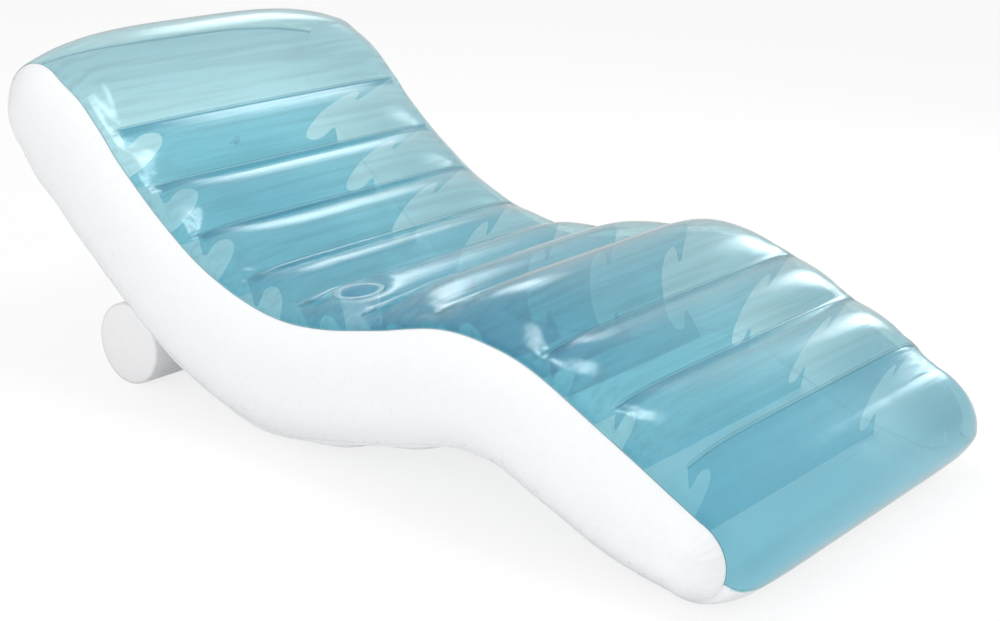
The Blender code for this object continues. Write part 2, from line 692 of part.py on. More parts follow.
def build():
    """Builds the whole lounge."""
    for thing in list(bpy.data.objects):
        bpy.data.objects.remove(thing, do_unlink=True)
    lounge = new_collection("wave_lounge")
    cutters = new_collection("construction")

    top = top_rows()
    bottom = bottom_rows()
    puff(top, bottom)
    top_welds = [row for row in top if row.anchor]
    bottom_welds = [row for row in bottom if row.anchor][::-1]
    cup_row = top.index(top_welds[CUP_CHANNEL]) + 1
    for row in top[cup_row:cup_row + 2]:
        row.crown *= CUP_CROWN_SHARE
    settle(top, bottom)

    top_object = panel("top_panel", top, lounge, AQUA)
    bottom_object = panel("bottom_panel", bottom, lounge, WHITE)
    outline = top[1:-1] + bottom[1:-1]
    side_panel("right_side_panel", outline, -1.0, lounge)
    side_panel("left_side_panel", outline, 1.0, lounge)
    for number, (upper, lower) in enumerate(zip(top_welds, bottom_welds), start=1):
        baffle(f"baffle_{number:02d}", upper, lower, lounge)

    cup_frame = facet_frame(panel_facet(top, cup_row, (-1, -2)))
    cup_pocket(cup_frame, top_object, lounge, cutters)

    valve_row = bottom.index(bottom_welds[0]) + 1
    main_frame = facet_frame(panel_facet(bottom, valve_row, (1, 0)))
    valve("main_valve", main_frame, bottom_object, lounge, cutters)

    end_object, end_frame = bolster(bottom, lounge, cutters)
    valve("bolster_valve", end_frame, end_object, lounge, cutters)


build()
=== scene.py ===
"""Looks of the wave-shaped inflatable pool lounge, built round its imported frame.

Everything is in metres in the frame's own axes: the foot end at -Y, the head end at +Y, +Z up,
and the right hand of somebody lying face up at -X.
"""

import logging
import math
from collections.abc import Callable, Sequence
from dataclasses import dataclass, field
from enum import Enum

import bmesh
import bpy
import numpy as np
from mathutils import Matrix, Vector
from mathutils.geometry import delaunay_2d_cdt

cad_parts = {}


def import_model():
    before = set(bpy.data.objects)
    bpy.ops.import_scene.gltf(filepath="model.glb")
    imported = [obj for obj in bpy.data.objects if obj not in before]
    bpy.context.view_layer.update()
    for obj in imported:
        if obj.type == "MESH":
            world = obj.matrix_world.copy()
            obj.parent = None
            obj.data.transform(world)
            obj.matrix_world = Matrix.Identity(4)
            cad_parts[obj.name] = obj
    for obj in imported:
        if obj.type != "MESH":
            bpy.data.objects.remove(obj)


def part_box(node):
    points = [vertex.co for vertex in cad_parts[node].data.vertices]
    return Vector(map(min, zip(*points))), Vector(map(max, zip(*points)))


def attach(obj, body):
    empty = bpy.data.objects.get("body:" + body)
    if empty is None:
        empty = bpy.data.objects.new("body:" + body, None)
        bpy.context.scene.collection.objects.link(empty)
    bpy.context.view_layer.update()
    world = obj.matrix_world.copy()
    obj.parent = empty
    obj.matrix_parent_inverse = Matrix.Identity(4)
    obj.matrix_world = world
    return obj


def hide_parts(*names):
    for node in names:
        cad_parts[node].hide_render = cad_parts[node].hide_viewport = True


LOG = logging.getLogger("lounge")

Node, Socket, Tree = bpy.types.Node, bpy.types.NodeSocket, bpy.types.NodeTree
Thing, Mesh, Material = bpy.types.Object, bpy.types.Mesh, bpy.types.Material
Colour = tuple[float, float, float]
Spot = tuple[float, float, float]
Section = Sequence[tuple[float, float]]

SHEET = 0.0004
GAP = 0.0003
BEVEL = 0.0003
BEVEL_STEPS = 2
ROUNDING_STEPS = 3
ROUNDING_LIMIT = 0.45
LAP_SHARE = 0.985
FAR_FROM_WELDS = 40.0
WHITE = (1.0, 1.0, 1.0, 1.0)
LOUNGE = "lounge"


class Slot(Enum):
    """The record's material slots."""

    AQUA = "aqua_vinyl"
    BAFFLE = "baffle_vinyl"
    POCKET = "pocket_vinyl"
    WHITE = "white_vinyl"
    VALVE = "valve_vinyl"


class Zone(Enum):
    """How the air lifts a stretch of sheet across the lounge.

    The first pair of exponents holds at the start of the stretch and the second at its end.
    """

    CHANNEL = (6.0, 1.4, 6.0, 1.4)
    UNDERSIDE = (9.0, 0.6, 9.0, 0.6)
    FOOT_CAP = (14.0, 0.4, 7.0, 0.8)
    HEAD_CAP = (3.6, 1.1, 11.0, 0.6)


# Shader building


class NodeSheet:
    """A node tree with short ways to add and wire its nodes."""

    def __init__(self, tree: Tree) -> None:
        """Keeps the tree."""
        self.tree = tree

    def add(
        self, kind: str, inputs: dict[str | int, object] | None = None, **settings: object
    ) -> Node:
        """Adds a node.

        Args:
            kind: The node's type name without its ShaderNode prefix.
            inputs: Values or sockets for its inputs, by name or number.
            **settings: Properties set on the node itself.

        Returns:
            The new node.
        """
        prefix = "" if kind.startswith("Node") else "ShaderNode"
        node = self.tree.nodes.new(prefix + kind)
        for name, value in settings.items():
            setattr(node, name, value)
        for key, value in (inputs or {}).items():
            if isinstance(value, Socket):
                self.tree.links.new(value, node.inputs[key])
            else:
                node.inputs[key].default_value = value
        return node

    def math(self, operation: str, *values: Socket | float, clamp: bool = False) -> Socket:
        """Adds a Math node.

        Args:
            operation: The node's operation.
            *values: Its inputs in order, as sockets or numbers.
            clamp: Whether the result stays within 0 and 1.

        Returns:
            The result's socket.
        """
        node = self.add("Math", dict(enumerate(values)), operation=operation, use_clamp=clamp)
        return node.outputs[0]

    def ramp(
        self, value: Socket, low: float, high: float, start: float = 0.0, end: float = 1.0
    ) -> Socket:
        """Maps a range of values to another one with soft ends.

        Args:
            value: The value.
            low: Where its range starts.
            high: Where its range ends.
            start: What the low end becomes.
            end: What the high end becomes.

        Returns:
            The result's socket.
        """
        node = self.add(
            "MapRange",
            {"Value": value, "From Min": low, "From Max": high, "To Min": start, "To Max": end},
            interpolation_type="SMOOTHSTEP",
        )
        return node.outputs["Result"]

    def blend(
        self, share: Socket, first: Socket | Sequence[float], second: Socket | Sequence[float]
    ) -> Socket:
        """Mixes two colours.

        Args:
            share: The second colour's share.
            first: The first colour.
            second: The second colour.

        Returns:
            The result's socket.
        """
        node = self.add("Mix", {0: share, 6: first, 7: second}, data_type="RGBA")
        return node.outputs[2]


def four(colour: Colour) -> tuple[float, float, float, float]:
    """Adds an alpha of one to a colour."""
    return (*colour, 1.0)


def shaded(colour: Colour, left: Colour | float) -> tuple[float, float, float, float]:
    """Multiplies a colour by a number or by another colour and adds an alpha of one."""
    shares = (left,) * 3 if isinstance(left, float) else left
    return four(tuple(channel * share for channel, share in zip(colour, shares)))


def shader_group(
    name: str, inputs: dict[str, float], outputs: dict[str, str]
) -> tuple[NodeSheet, dict[str, Socket]]:
    """Starts a shader group with number inputs.

    Args:
        name: The group's name.
        inputs: Each input's default value.
        outputs: Each output's socket type.

    Returns:
        The group's node sheet and its input sockets by name.
    """
    tree = bpy.data.node_groups.new(name, "ShaderNodeTree")
    for label, value in inputs.items():
        socket = tree.interface.new_socket(label, in_out="INPUT", socket_type="NodeSocketFloat")
        socket.default_value = value
    for label, kind in outputs.items():
        tree.interface.new_socket(label, in_out="OUTPUT", socket_type=kind)
    sheet = NodeSheet(tree)
    entry = sheet.add("NodeGroupInput")
    return sheet, {label: entry.outputs[label] for label in inputs}


def soft_skin_group() -> Tree:
    """Builds the group for taut vinyl: broad sags, faint draw lines and fine grain.

    Returns:
        The group, with a Normal, a Mottle mask and a Roughness value.
    """
    sheet, given = shader_group(
        "taut_vinyl_skin",
        {"Sag": 0.25, "Lines": 0.1, "Grain": 0.04, "Gloss": 0.1},
        {"Normal": "NodeSocketVector", "Mottle": "NodeSocketFloat", "Roughness": "NodeSocketFloat"},
    )
    spot = sheet.add("TexCoord").outputs["Object"]
    broad = sheet.add("TexNoise", {"Vector": spot, "Scale": 5.0, "Detail": 2.0, "Roughness": 0.4})
    drawn = sheet.add("Mapping", {"Vector": spot, "Scale": (2.0, 62.0, 62.0)}).outputs[0]
    lines = sheet.add("TexNoise", {"Vector": drawn, "Scale": 1.0, "Detail": 3.0, "Roughness": 0.5})
    grain = sheet.add("TexNoise", {"Vector": spot, "Scale": 900.0, "Detail": 2.0})
    reliefs = (("Sag", 0.012, broad), ("Lines", 0.004, lines), ("Grain", 0.0002, grain))
    bump = None
    for label, depth, noise in reliefs:
        values = {"Strength": given[label], "Distance": depth, "Height": noise.outputs["Fac"]}
        if bump is not None:
            values["Normal"] = bump.outputs[0]
        bump = sheet.add("Bump", values)
    streaks = sheet.ramp(lines.outputs["Fac"], 0.42, 0.68)
    clouds = sheet.math("MULTIPLY", broad.outputs["Fac"], 0.3)
    mottle = sheet.math("MULTIPLY_ADD", streaks, 0.7, clouds)
    uneven = sheet.ramp(lines.outputs["Fac"], 0.2, 0.8, 0.8, 1.25)
    rough = sheet.math("MULTIPLY", given["Gloss"], uneven)
    sheet.add("NodeGroupOutput", {"Normal": bump.outputs[0], "Mottle": mottle, "Roughness": rough})
    return sheet.tree


def weld_mark_group() -> Tree:
    """Builds the group that reads a sheet's distance from its nearest weld.

    Returns:
        The group, with a Band mask for the fused strip and a Line mask for its two edges.
    """
    sheet, given = shader_group(
        "weld_marks",
        {"Half width": 3.0, "Line": 0.7},
        {"Band": "NodeSocketFloat", "Line": "NodeSocketFloat"},
    )
    away = sheet.add("Attribute", attribute_name="weld_mm").outputs["Fac"]
    inside = sheet.math("SUBTRACT", given["Half width"], away)
    band = sheet.math("ADD", sheet.math("MULTIPLY", inside, 1.4), 0.5, clamp=True)
    off = sheet.math("DIVIDE", sheet.math("ABSOLUTE", inside), given["Line"])
    line = sheet.math("SUBTRACT", 1.0, off, clamp=True)
    sheet.add("NodeGroupOutput", {"Band": band, "Line": line})
    return sheet.tree


@dataclass
class ShaderGroups:
    """The shader groups that the finishes share.

    Attributes:
        skin: Taut vinyl's relief.
        welds: The marks of the welds.
    """

    skin: Tree = field(default_factory=soft_skin_group)
    welds: Tree = field(default_factory=weld_mark_group)


def new_material(name: str) -> tuple[Material, NodeSheet]:
    """Makes an empty node material.

    Args:
        name: Its name.

    Returns:
        The material and its node sheet.
    """
    material = bpy.data.materials.new(name)
    material.use_nodes = True
    material.node_tree.nodes.clear()
    return material, NodeSheet(material.node_tree)


@dataclass(frozen=True)
class ClearVinyl:
    """See-through tinted sheet: what one face lets through, its haze and its gloss.

    Attributes:
        name: The material's name.
        tint: The share of red, green and blue that one face lets through.
        deep: The same inside a weld, where two sheets are fused.
        haze: The share of the face that scatters light.
        body: The colour of the scattered light.
        roughness: How soft its reflections are.
        sag: How far the broad sags tilt the surface.
        lines: How far the draw lines tilt it.
        streak: What the draw lines leave of the tint.
        doubled: What a baffle's welded margin under the sheet leaves of it.
        ends: What the sheet leaves of the tint at the foot end: painted shade that stands in
        for the shade inside the foot's nose.
        line_shade: What a weld's edge lines leave of the fused colour.
        grain: How far the fine grain tilts the surface.
        body_roughness: How soft the haze is.
        mirror: The share that the sheet mirrors head on.
        mirror_gain: How much more it mirrors at a grazing angle.
        mirror_power: How suddenly that begins.
    """

    name: str
    tint: Colour
    deep: Colour
    haze: float
    body: Colour
    roughness: float
    sag: float = 0.25
    lines: float = 0.1
    streak: float = 0.96
    doubled: Colour = (0.72, 0.82, 0.86)
    # Painted shade: the tint that is left at the foot end.
    ends: Colour = (0.86, 0.93, 0.955)
    line_shade: float = 0.6
    grain: float = 0.02
    body_roughness: float = 0.35
    mirror: float = 0.045
    mirror_gain: float = 0.92
    mirror_power: float = 5.0

    def build(self, groups: ShaderGroups) -> Material:
        """Builds the material.

        Args:
            groups: The shared shader groups.

        Returns:
            The material.
        """
        material, sheet = new_material(self.name)
        relief = {"Sag": self.sag, "Lines": self.lines, "Grain": self.grain}
        skin = place_group(sheet, groups.skin, **relief, Gloss=self.roughness)
        normal = skin.outputs["Normal"]
        marks = place_group(sheet, groups.welds)
        tint = sheet.blend(skin.outputs["Mottle"], four(self.tint), shaded(self.tint, self.streak))
        # The flange mask darkens the tint over the baffles' welded margins; the cap mask paints
        # shade into it towards the foot end.
        for label, left in (("flange", self.doubled), ("cap", self.ends)):
            mask = sheet.add("Attribute", attribute_name=label).outputs["Fac"]
            tint = sheet.blend(mask, tint, shaded(self.tint, left))
        tint = sheet.blend(marks.outputs["Band"], tint, four(self.deep))
        tint = sheet.blend(marks.outputs["Line"], tint, shaded(self.deep, self.line_shade))
        through = sheet.add("BsdfTransparent", {"Color": tint})
        body = sheet.add(
            "BsdfPrincipled",
            {
                "Base Color": four(self.body),
                "Roughness": self.body_roughness,
                "Specular IOR Level": 0.0,
                "Normal": normal,
            },
        )
        milky = sheet.add("MixShader", {0: self.haze, 1: through.outputs[0], 2: body.outputs[0]})
        facing = sheet.add("LayerWeight", {"Blend": 0.5, "Normal": normal}).outputs["Facing"]
        grazing = sheet.math("POWER", facing, self.mirror_power)
        mirror = sheet.math("MULTIPLY_ADD", grazing, self.mirror_gain, self.mirror)
        rough = skin.outputs["Roughness"]
        gloss = sheet.add("BsdfGlossy", {"Color": WHITE, "Roughness": rough, "Normal": normal})
        surface = sheet.add("MixShader", {0: mirror, 1: milky.outputs[0], 2: gloss.outputs[0]})
        sheet.add("OutputMaterial", {"Surface": surface.outputs[0]})
        return material


def place_group(sheet: NodeSheet, tree: Tree, **values: float) -> Node:
    """Places a shader group in a material.

    Args:
        sheet: The material's node sheet.
        tree: The group.
        **values: Values for its inputs, with spaces written as underscores.

    Returns:
        The group node.
    """
    node = sheet.add("Group", node_tree=tree)
    for name, value in values.items():
        node.inputs[name.replace("_", " ")].default_value = value
    return node


@dataclass(frozen=True)
class WhiteVinyl:
    """Opaque satin sheet.

    Attributes:
        name: The material's name.
        colour: Its colour.
        shade: Its colour in the patches that the air sags.
        glow: The share of the light that passes through and scatters.
        roughness: How soft its reflections are.
        sag: How far the broad sags tilt the surface.
        lines: How far the draw lines tilt it.
    """

    name: str
    colour: Colour = (0.93, 0.93, 0.936)
    shade: Colour = (0.915, 0.915, 0.923)
    glow: float = 0.15
    roughness: float = 0.32
    sag: float = 0.2
    lines: float = 0.0

    def build(self, groups: ShaderGroups) -> Material:
        """Builds the material.

        Args:
            groups: The shared shader groups.

        Returns:
            The material.
        """
        material, sheet = new_material(self.name)
        relief = {"Sag": self.sag, "Lines": self.lines, "Grain": 0.0}
        skin = place_group(sheet, groups.skin, **relief, Gloss=self.roughness)
        colour = sheet.blend(skin.outputs["Mottle"], four(self.colour), four(self.shade))
        front = sheet.add(
            "BsdfPrincipled",
            {
                "Base Color": colour,
                "Roughness": skin.outputs["Roughness"],
                "Specular IOR Level": 0.35,
                "Normal": skin.outputs["Normal"],
            },
        )
        behind = sheet.add("BsdfTranslucent", {"Color": colour, "Normal": skin.outputs["Normal"]})
        shader = sheet.add("MixShader", {0: self.glow, 1: front.outputs[0], 2: behind.outputs[0]})
        sheet.add("OutputMaterial", {"Surface": shader.outputs[0]})
        return material


@dataclass(frozen=True)
class SoftMoulding:
    """Translucent moulded vinyl of the valves.

    Attributes:
        name: The material's name.
        colour: The colour of the scattered light.
        through: The colour of the light that passes.
        body: The share of the light that scatters.
    """

    name: str
    colour: Colour = (0.9, 0.93, 0.94)
    through: Colour = (0.93, 0.96, 0.97)
    body: float = 0.55

    def build(self, groups: ShaderGroups) -> Material:
        """Builds the material.

        Args:
            groups: The shared shader groups.

        Returns:
            The material.
        """
        material, sheet = new_material(self.name)
        skin = place_group(sheet, groups.skin, Sag=0.0, Lines=0.05, Grain=0.2, Gloss=0.28)
        colour = sheet.blend(skin.outputs["Mottle"], four(self.colour), four(self.through))
        body = sheet.add(
            "BsdfPrincipled",
            {
                "Base Color": colour,
                "Roughness": skin.outputs["Roughness"],
                "Normal": skin.outputs["Normal"],
            },
        )
        clear = sheet.add("BsdfTransparent", {"Color": four(self.through)})
        surface = sheet.add("MixShader", {0: self.body, 1: clear.outputs[0], 2: body.outputs[0]})
        sheet.add("OutputMaterial", {"Surface": surface.outputs[0]})
        return material


class Finishes:
    """Every finish of the lounge, built once."""

    def __init__(self) -> None:
        """Builds the shared groups and the materials."""
        groups = ShaderGroups()
        aqua = ClearVinyl(
            "aqua_top_sheet",
            tint=(0.862, 0.98, 0.993),
            deep=(0.74, 0.9, 0.93),
            haze=0.025,
            body=(0.5, 0.85, 0.9),
            roughness=0.13,
            sag=0.2,
            lines=0.13,
            streak=0.93,
        )
        baffle = ClearVinyl(
            "aqua_baffle_sheet",
            tint=(0.6, 0.865, 0.92),
            deep=(0.66, 0.84, 0.88),
            haze=0.01,
            body=(0.36, 0.72, 0.8),
            roughness=0.2,
            sag=0.4,
            lines=0.2,
        )
        pocket = ClearVinyl(
            "blue_pocket_sheet",
            tint=(0.96, 0.98, 0.995),
            deep=(0.84, 0.92, 0.97),
            haze=0.14,
            body=(0.72, 0.88, 0.95),
            roughness=0.12,
        )
        self.aqua = aqua.build(groups)
        self.baffle = baffle.build(groups)
        self.pocket = pocket.build(groups)
        self.white = WhiteVinyl("white_sheet").build(groups)
        self.white_bolster = WhiteVinyl("white_bolster_sheet", sag=0.3).build(groups)
        self.valve = SoftMoulding("valve_moulding").build(groups)


# Pieces and meshes


@dataclass
class Piece:
    """One finished piece.

    Attributes:
        thing: Its object.
        nodes: The record's nodes that it stands for.
        slot: Its material slot in the record.
        body: The body that it rides on.
        fill: The padding's fill, or None where it isn't padded.
    """

    thing: Thing
    nodes: tuple[str, ...]
    slot: Slot
    body: str = LOUNGE
    fill: float | None = None

    def hand_over(self) -> None:
        """Gives the piece to the frame and logs it."""
        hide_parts(*self.nodes)
        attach(self.thing, self.body)
        LOG.info("%s on %s: %d faces", self.thing.name, self.body, len(self.thing.data.polygons))


def object_from(name: str, mesh: Mesh, material: Material, smooth: bool = True) -> Thing:
    """Links a mesh as an object with its material.

    Args:
        name: The object's name.
        mesh: Its mesh.
        material: Its finish.
        smooth: Whether its faces are shaded smooth.

    Returns:
        The object.
    """
    mesh.materials.clear()
    mesh.materials.append(material)
    mesh.polygons.foreach_set("use_smooth", [smooth] * len(mesh.polygons))
    thing = bpy.data.objects.new(name, mesh)
    bpy.context.scene.collection.objects.link(thing)
    return thing


def grid_mesh(
    name: str, points: np.ndarray, values: dict[str, np.ndarray], closed: bool = False
) -> Mesh:
    """Makes a mesh on a grid of points.

    Args:
        name: The mesh's name.
        points: Points by row and column.
        values: Number attributes by name, one value for each point.
        closed: Whether the last row joins the first.

    Returns:
        The mesh.
    """
    rows, columns, _ = points.shape
    numbers = np.arange(rows * columns).reshape(rows, columns)
    following = np.roll(numbers, -1, axis=0) if closed else numbers[1:]
    start = numbers if closed else numbers[:-1]
    corners = [start[:, :-1], following[:, :-1], following[:, 1:], start[:, 1:]]
    quads = np.stack(corners, axis=-1).reshape(-1, 4)
    mesh = bpy.data.meshes.new(name)
    mesh.from_pydata(points.reshape(-1, 3).tolist(), [], quads.tolist())
    for label, numbers_by_point in values.items():
        mark_points(mesh, label, numbers_by_point)
    mesh.update()
    return mesh


def mark_points(mesh: Mesh, label: str, values: np.ndarray) -> None:
    """Writes one number for each point of a mesh."""
    layer = mesh.attributes.new(label, "FLOAT", "POINT")
    layer.data.foreach_set("value", values.astype(np.float32).ravel())


def mesh_of(name: str, bm: bmesh.types.BMesh) -> Mesh:
    """Writes a finished bmesh to a new mesh.

    Args:
        name: The mesh's name.
        bm: The bmesh, which is freed.

    Returns:
        The mesh.
    """
    mesh = bpy.data.meshes.new(name)
    bm.to_mesh(mesh)
    bm.free()
    return mesh


def bevelled_box(name: str, matrix: Matrix) -> Mesh:
    """Makes a box with bevelled edges.

    Args:
        name: The mesh's name.
        matrix: What places and sizes a cube of one metre.

    Returns:
        The mesh.
    """
    bm = bmesh.new()
    bmesh.ops.create_cube(bm, size=1.0, matrix=matrix)
    bmesh.ops.bevel(bm, geom=bm.edges, offset=BEVEL, segments=BEVEL_STEPS, affect="EDGES")
    bmesh.ops.recalc_face_normals(bm, faces=bm.faces)
    return mesh_of(name, bm)


def curve_through(marks: Sequence[np.ndarray], steps: int) -> np.ndarray:
    """Draws a smooth curve through marks.

    Args:
        marks: The marks. The first and the last one only steer the curve.
        steps: How many points each stretch gets.

    Returns:
        The curve's points.
    """
    spots = []
    for before, start, end, after in zip(marks, marks[1:], marks[2:], marks[3:]):
        for share in np.arange(steps) / steps:
            linear = (end - before) * share
            square = (before * 2.0 - start * 5.0 + end * 4.0 - after) * share**2
            cube = (start * 3.0 - before - end * 3.0 + after) * share**3
            spots.append((start * 2.0 + linear + square + cube) * 0.5)
    return np.array([*spots, marks[-2]])


def outward(mesh: Mesh, inside: Callable[[Vector], Vector]) -> None:
    """Turns a sheet's faces so that most look away from the inside.

    Args:
        mesh: The open sheet.
        inside: Gives the inner point that a face's middle should look away from.
    """
    total = sum(
        face.area * face.normal.dot(face.center - inside(face.center)) for face in mesh.polygons
    )
    if total < 0.0:
        mesh.flip_normals()


def thickened(thing: Thing, offset: float = -1.0) -> Thing:
    """Gives a sheet its thickness.

    Args:
        thing: The sheet.
        offset: Where the thickness goes: -1 for the inner side and 0 for both.

    Returns:
        The same object as one plain mesh.
    """
    modifier = thing.modifiers.new("sheet thickness", "SOLIDIFY")
    modifier.thickness = SHEET
    modifier.offset = offset
    modifier.use_even_offset = False
    return plain(thing)


def plain(thing: Thing) -> Thing:
    """Turns an object's modifiers into its own mesh.

    Args:
        thing: The object.

    Returns:
        The same object with one plain mesh.
    """
    graph = bpy.context.evaluated_depsgraph_get()
    mesh = bpy.data.meshes.new_from_object(thing.evaluated_get(graph))
    thing.modifiers.clear()
    thing.data = mesh
    return thing


def smoothed(thing: Thing) -> Thing:
    """Shades an object's faces smooth."""
    thing.data.polygons.foreach_set("use_smooth", [True] * len(thing.data.polygons))
    return thing


def smoothstep(value: np.ndarray) -> np.ndarray:
    """Eases 0..1 in and out."""
    held = np.clip(value, 0.0, 1.0)
    return held * held * (3.0 - 2.0 * held)


def fade_in(value: np.ndarray, limits: tuple[float, float]) -> np.ndarray:
    """Eases from 0 to 1 from a start on, over a length."""
    return smoothstep((value - limits[0]) / limits[1])


def frame_along(middle: Vector, out: Vector, across: Vector) -> Matrix:
    """Makes a frame at a point.

    Args:
        middle: The point.
        out: The frame's Z, of length one.
        across: The way that its X points, apart from what lies along Z.

    Returns:
        The frame's matrix.
    """
    across = (across - out * across.dot(out)).normalized()
    turn = Matrix((across, out.cross(across), out)).transposed()
    return Matrix.Translation(middle) @ turn.to_4x4()


# The chamber's closed side outline


@dataclass
class Stations:
    """Stations along the outline: along and up for the points, feet and normals.

    Attributes:
        points: The design line.
        feet: The spine's points that the side panels gather to.
        normals: The way the air pushes the sheet.
        anchors: Each weld's rise over the design line, or NaN away from welds.
        lifts: How far the sheet laps over its neighbour.
        run: The length along the closed outline.
        rises: The weld rise carried along the sheet.
        crowns: The height of the air channel.
        shares: The place between two welds, 0 to 1.
        lengths: The distance between the two welds.
        zones: The zone's exponents.
    """

    points: np.ndarray
    feet: np.ndarray
    normals: np.ndarray
    anchors: np.ndarray
    lifts: np.ndarray
    run: np.ndarray | None = None
    rises: np.ndarray | None = None
    crowns: np.ndarray | None = None
    shares: np.ndarray | None = None
    lengths: np.ndarray | None = None
    zones: np.ndarray | None = None

    def __len__(self) -> int:
        """Counts the stations."""
        return len(self.points)

    def part(self, chosen: slice | np.ndarray) -> "Stations":
        """Gives some of the stations."""
        given = {name: value for name, value in vars(self).items() if value is not None}
        return Stations(**{name: value[chosen] for name, value in given.items()})


def joined(runs: Sequence[Stations]) -> Stations:
    """Joins runs of stations, with the values that all of them have.

    Args:
        runs: The runs in their order.

    Returns:
        The joined run.
    """
    given = [name for name, value in vars(runs[0]).items() if value is not None]
    values = {name: np.concatenate([getattr(run, name) for run in runs]) for name in given}
    return Stations(**values)


@dataclass
class ChamberShape:
    """The sizes of the air chamber and its welds, as the frame has them.

    Attributes:
        length: The spine's length along Y.
        wave_rise: How high the wave goes over the spine's lowest point.
        low_spine: How high that point is.
        half_depth: Half of the chamber's usual depth.
        seam_half_width: Half of the width between the side seams.
        side_bulge: How far the sides bulge.
        head_nose, foot_nose: How far the noses stand out.
        seam_lap: How wide the laps at the noses' seams are.
        weld_end: Where the welds end across the lounge.
        weld_half_band: Half of a weld's width.
        weld_rise, bottom_weld_rise: The usual rise of the welds.
        head_crown, foot_crown: How high the air lifts the noses.
        crown_share, bottom_crown_share: A channel's height as a share of its width.
        resting_crown_share: What is left of the foot's crown where it faces down.
        cap_fade: How soon a weld's rise fades round a nose.
        head_seam_angle, foot_seam_angle: Where the seams lie on the noses.
        level_turn, level_move: What brings the outline to the frame's level.
        spine_shares: The spine's marks: along, up and half depth, as shares.
        weld_places: The welds' places along the spine.
        weld_rise_shares, bottom_rise_shares: Each weld's share of the usual rise.
        steps_between: How many steps a channel has.
        steady_step: The share of even steps in them.
        spine_steps: How many steps lie between two of the spine's marks.
        nose_steps: The noses' stations: head top, foot top, foot bottom, head bottom.
        fine_reach: Where the even columns across the lounge end.
        column_step: How far apart those are.
        edge_columns, edge_power: How many columns follow, and how they close up.
        rise_power, rise_root: How a weld's rise ends at the seams.
        zone_turn, zone_turn_length: Where a stretch passes to its second exponents.
        end_ease, end_ease_length: Where a channel's sharp edge softens past the weld's end.
    """

    length: float = 1.84
    wave_rise: float = 0.485
    low_spine: float = 0.075
    half_depth: float = 0.115
    seam_half_width: float = 0.45
    side_bulge: float = 0.05
    head_nose: float = 0.1
    foot_nose: float = 0.078
    seam_lap: float = 0.004
    weld_end: float = 0.42
    weld_half_band: float = 0.003
    weld_rise: float = 0.04
    bottom_weld_rise: float = 0.018
    head_crown: float = 0.046
    foot_crown: float = 0.045
    crown_share: float = 0.16
    bottom_crown_share: float = 0.08
    resting_crown_share: float = 0.2
    cap_fade: float = 3.0
    head_seam_angle: float = 95.0
    foot_seam_angle: float = 92.0
    level_turn: float = math.radians(-0.229126)
    level_move: tuple[float, float] = (0.006252, 0.000507)
    spine_shares: tuple[tuple[float, float, float], ...] = (
        (0.443, 1.0, 0.94), (0.411, 0.9, 1.06), (0.378, 0.8, 1.03), (0.345, 0.686, 1.0),
        (0.278, 0.489, 0.99), (0.209, 0.32, 1.01), (0.135, 0.206, 1.035), (0.064, 0.159, 1.035),
        (-0.008, 0.188, 0.973), (-0.092, 0.262, 0.956), (-0.168, 0.34, 0.956),
        (-0.217, 0.344, 0.93), (-0.261, 0.309, 0.904), (-0.329, 0.198, 0.86),
        (-0.397, 0.089, 0.8), (-0.459, 0.012, 0.65),
    )
    weld_places: tuple[float, ...] = (
        0.09, 0.177, 0.263, 0.367, 0.478, 0.579, 0.681, 0.783, 0.864, 0.96,
    )
    weld_rise_shares: tuple[float, ...] = (0.5, 0.6, 0.85, 0.95, 0.95, 0.8, 0.7, 1.1, 1.4, 1.7)
    bottom_rise_shares: tuple[float, ...] = (0.4, 0.4, 0.5, 1.0, 1.0, 0.7, 0.6, 0.6, 0.6, 0.3)
    steps_between: int = 18
    steady_step: float = 0.35
    spine_steps: int = 24
    nose_steps: tuple[int, int, int, int] = (44, 40, 30, 34)
    fine_reach: float = 0.36
    column_step: float = 0.012
    edge_columns: int = 18
    edge_power: int = 3
    rise_power: int = 6
    rise_root: float = 0.4
    zone_turn: float = 0.66
    zone_turn_length: float = 0.16
    end_ease: float = 0.03
    end_ease_length: float = 0.04

    def __post_init__(self) -> None:
        """Samples the spine."""
        base = np.array((0.0, 0.0, self.low_spine))
        sizes = np.array((self.half_depth, self.length, self.wave_rise))
        marks = [base + sizes * (depth, y, z) for y, z, depth in self.spine_shares]
        marks = [marks[0] * 2.0 - marks[1], *marks, marks[-1] * 2.0 - marks[-2]]
        self.samples = curve_through(marks, self.spine_steps)
        steps = np.linalg.norm(np.diff(self.samples[:, 1:], axis=0), axis=1)
        self.spine_run = np.concatenate([[0.0], np.cumsum(steps)])
        slopes = np.gradient(self.samples[:, 1:], self.spine_run, axis=0)
        self.slopes = slopes / np.linalg.norm(slopes, axis=1)[:, None]

    def spine(self, shares: np.ndarray) -> tuple[np.ndarray, np.ndarray, np.ndarray, np.ndarray]:
        """Reads the spine.

        Args:
            shares: Places along it, from the head (0) to the foot (1).

        Returns:
            The centres, upward normals, footward tangents and half depths there.
        """
        run = np.asarray(shares) * self.spine_run[-1]
        depth, along, up = (np.interp(run, self.spine_run, column) for column in self.samples.T)
        slopes = [np.interp(run, self.spine_run, column) for column in self.slopes.T]
        tangent = np.stack(slopes, axis=1)
        tangent /= np.linalg.norm(tangent, axis=1)[:, None]
        normal = np.stack([tangent[:, 1], -tangent[:, 0]], axis=1)
        return np.stack([along, up], axis=1), normal, tangent, depth

    def spine_run_of(self, shares: np.ndarray, side: int, anchors: np.ndarray) -> Stations:
        """Makes stations along the spine.

        Args:
            shares: Places along it.
            side: 1 for the top and -1 for the bottom.
            anchors: Each weld's rise, or NaN away from welds.

        Returns:
            The stations.
        """
        centre, normal, _, depth = self.spine(shares)
        points = centre + normal * (side * depth)[:, None]
        return Stations(points, centre, normal * side, anchors, np.zeros(len(points)))

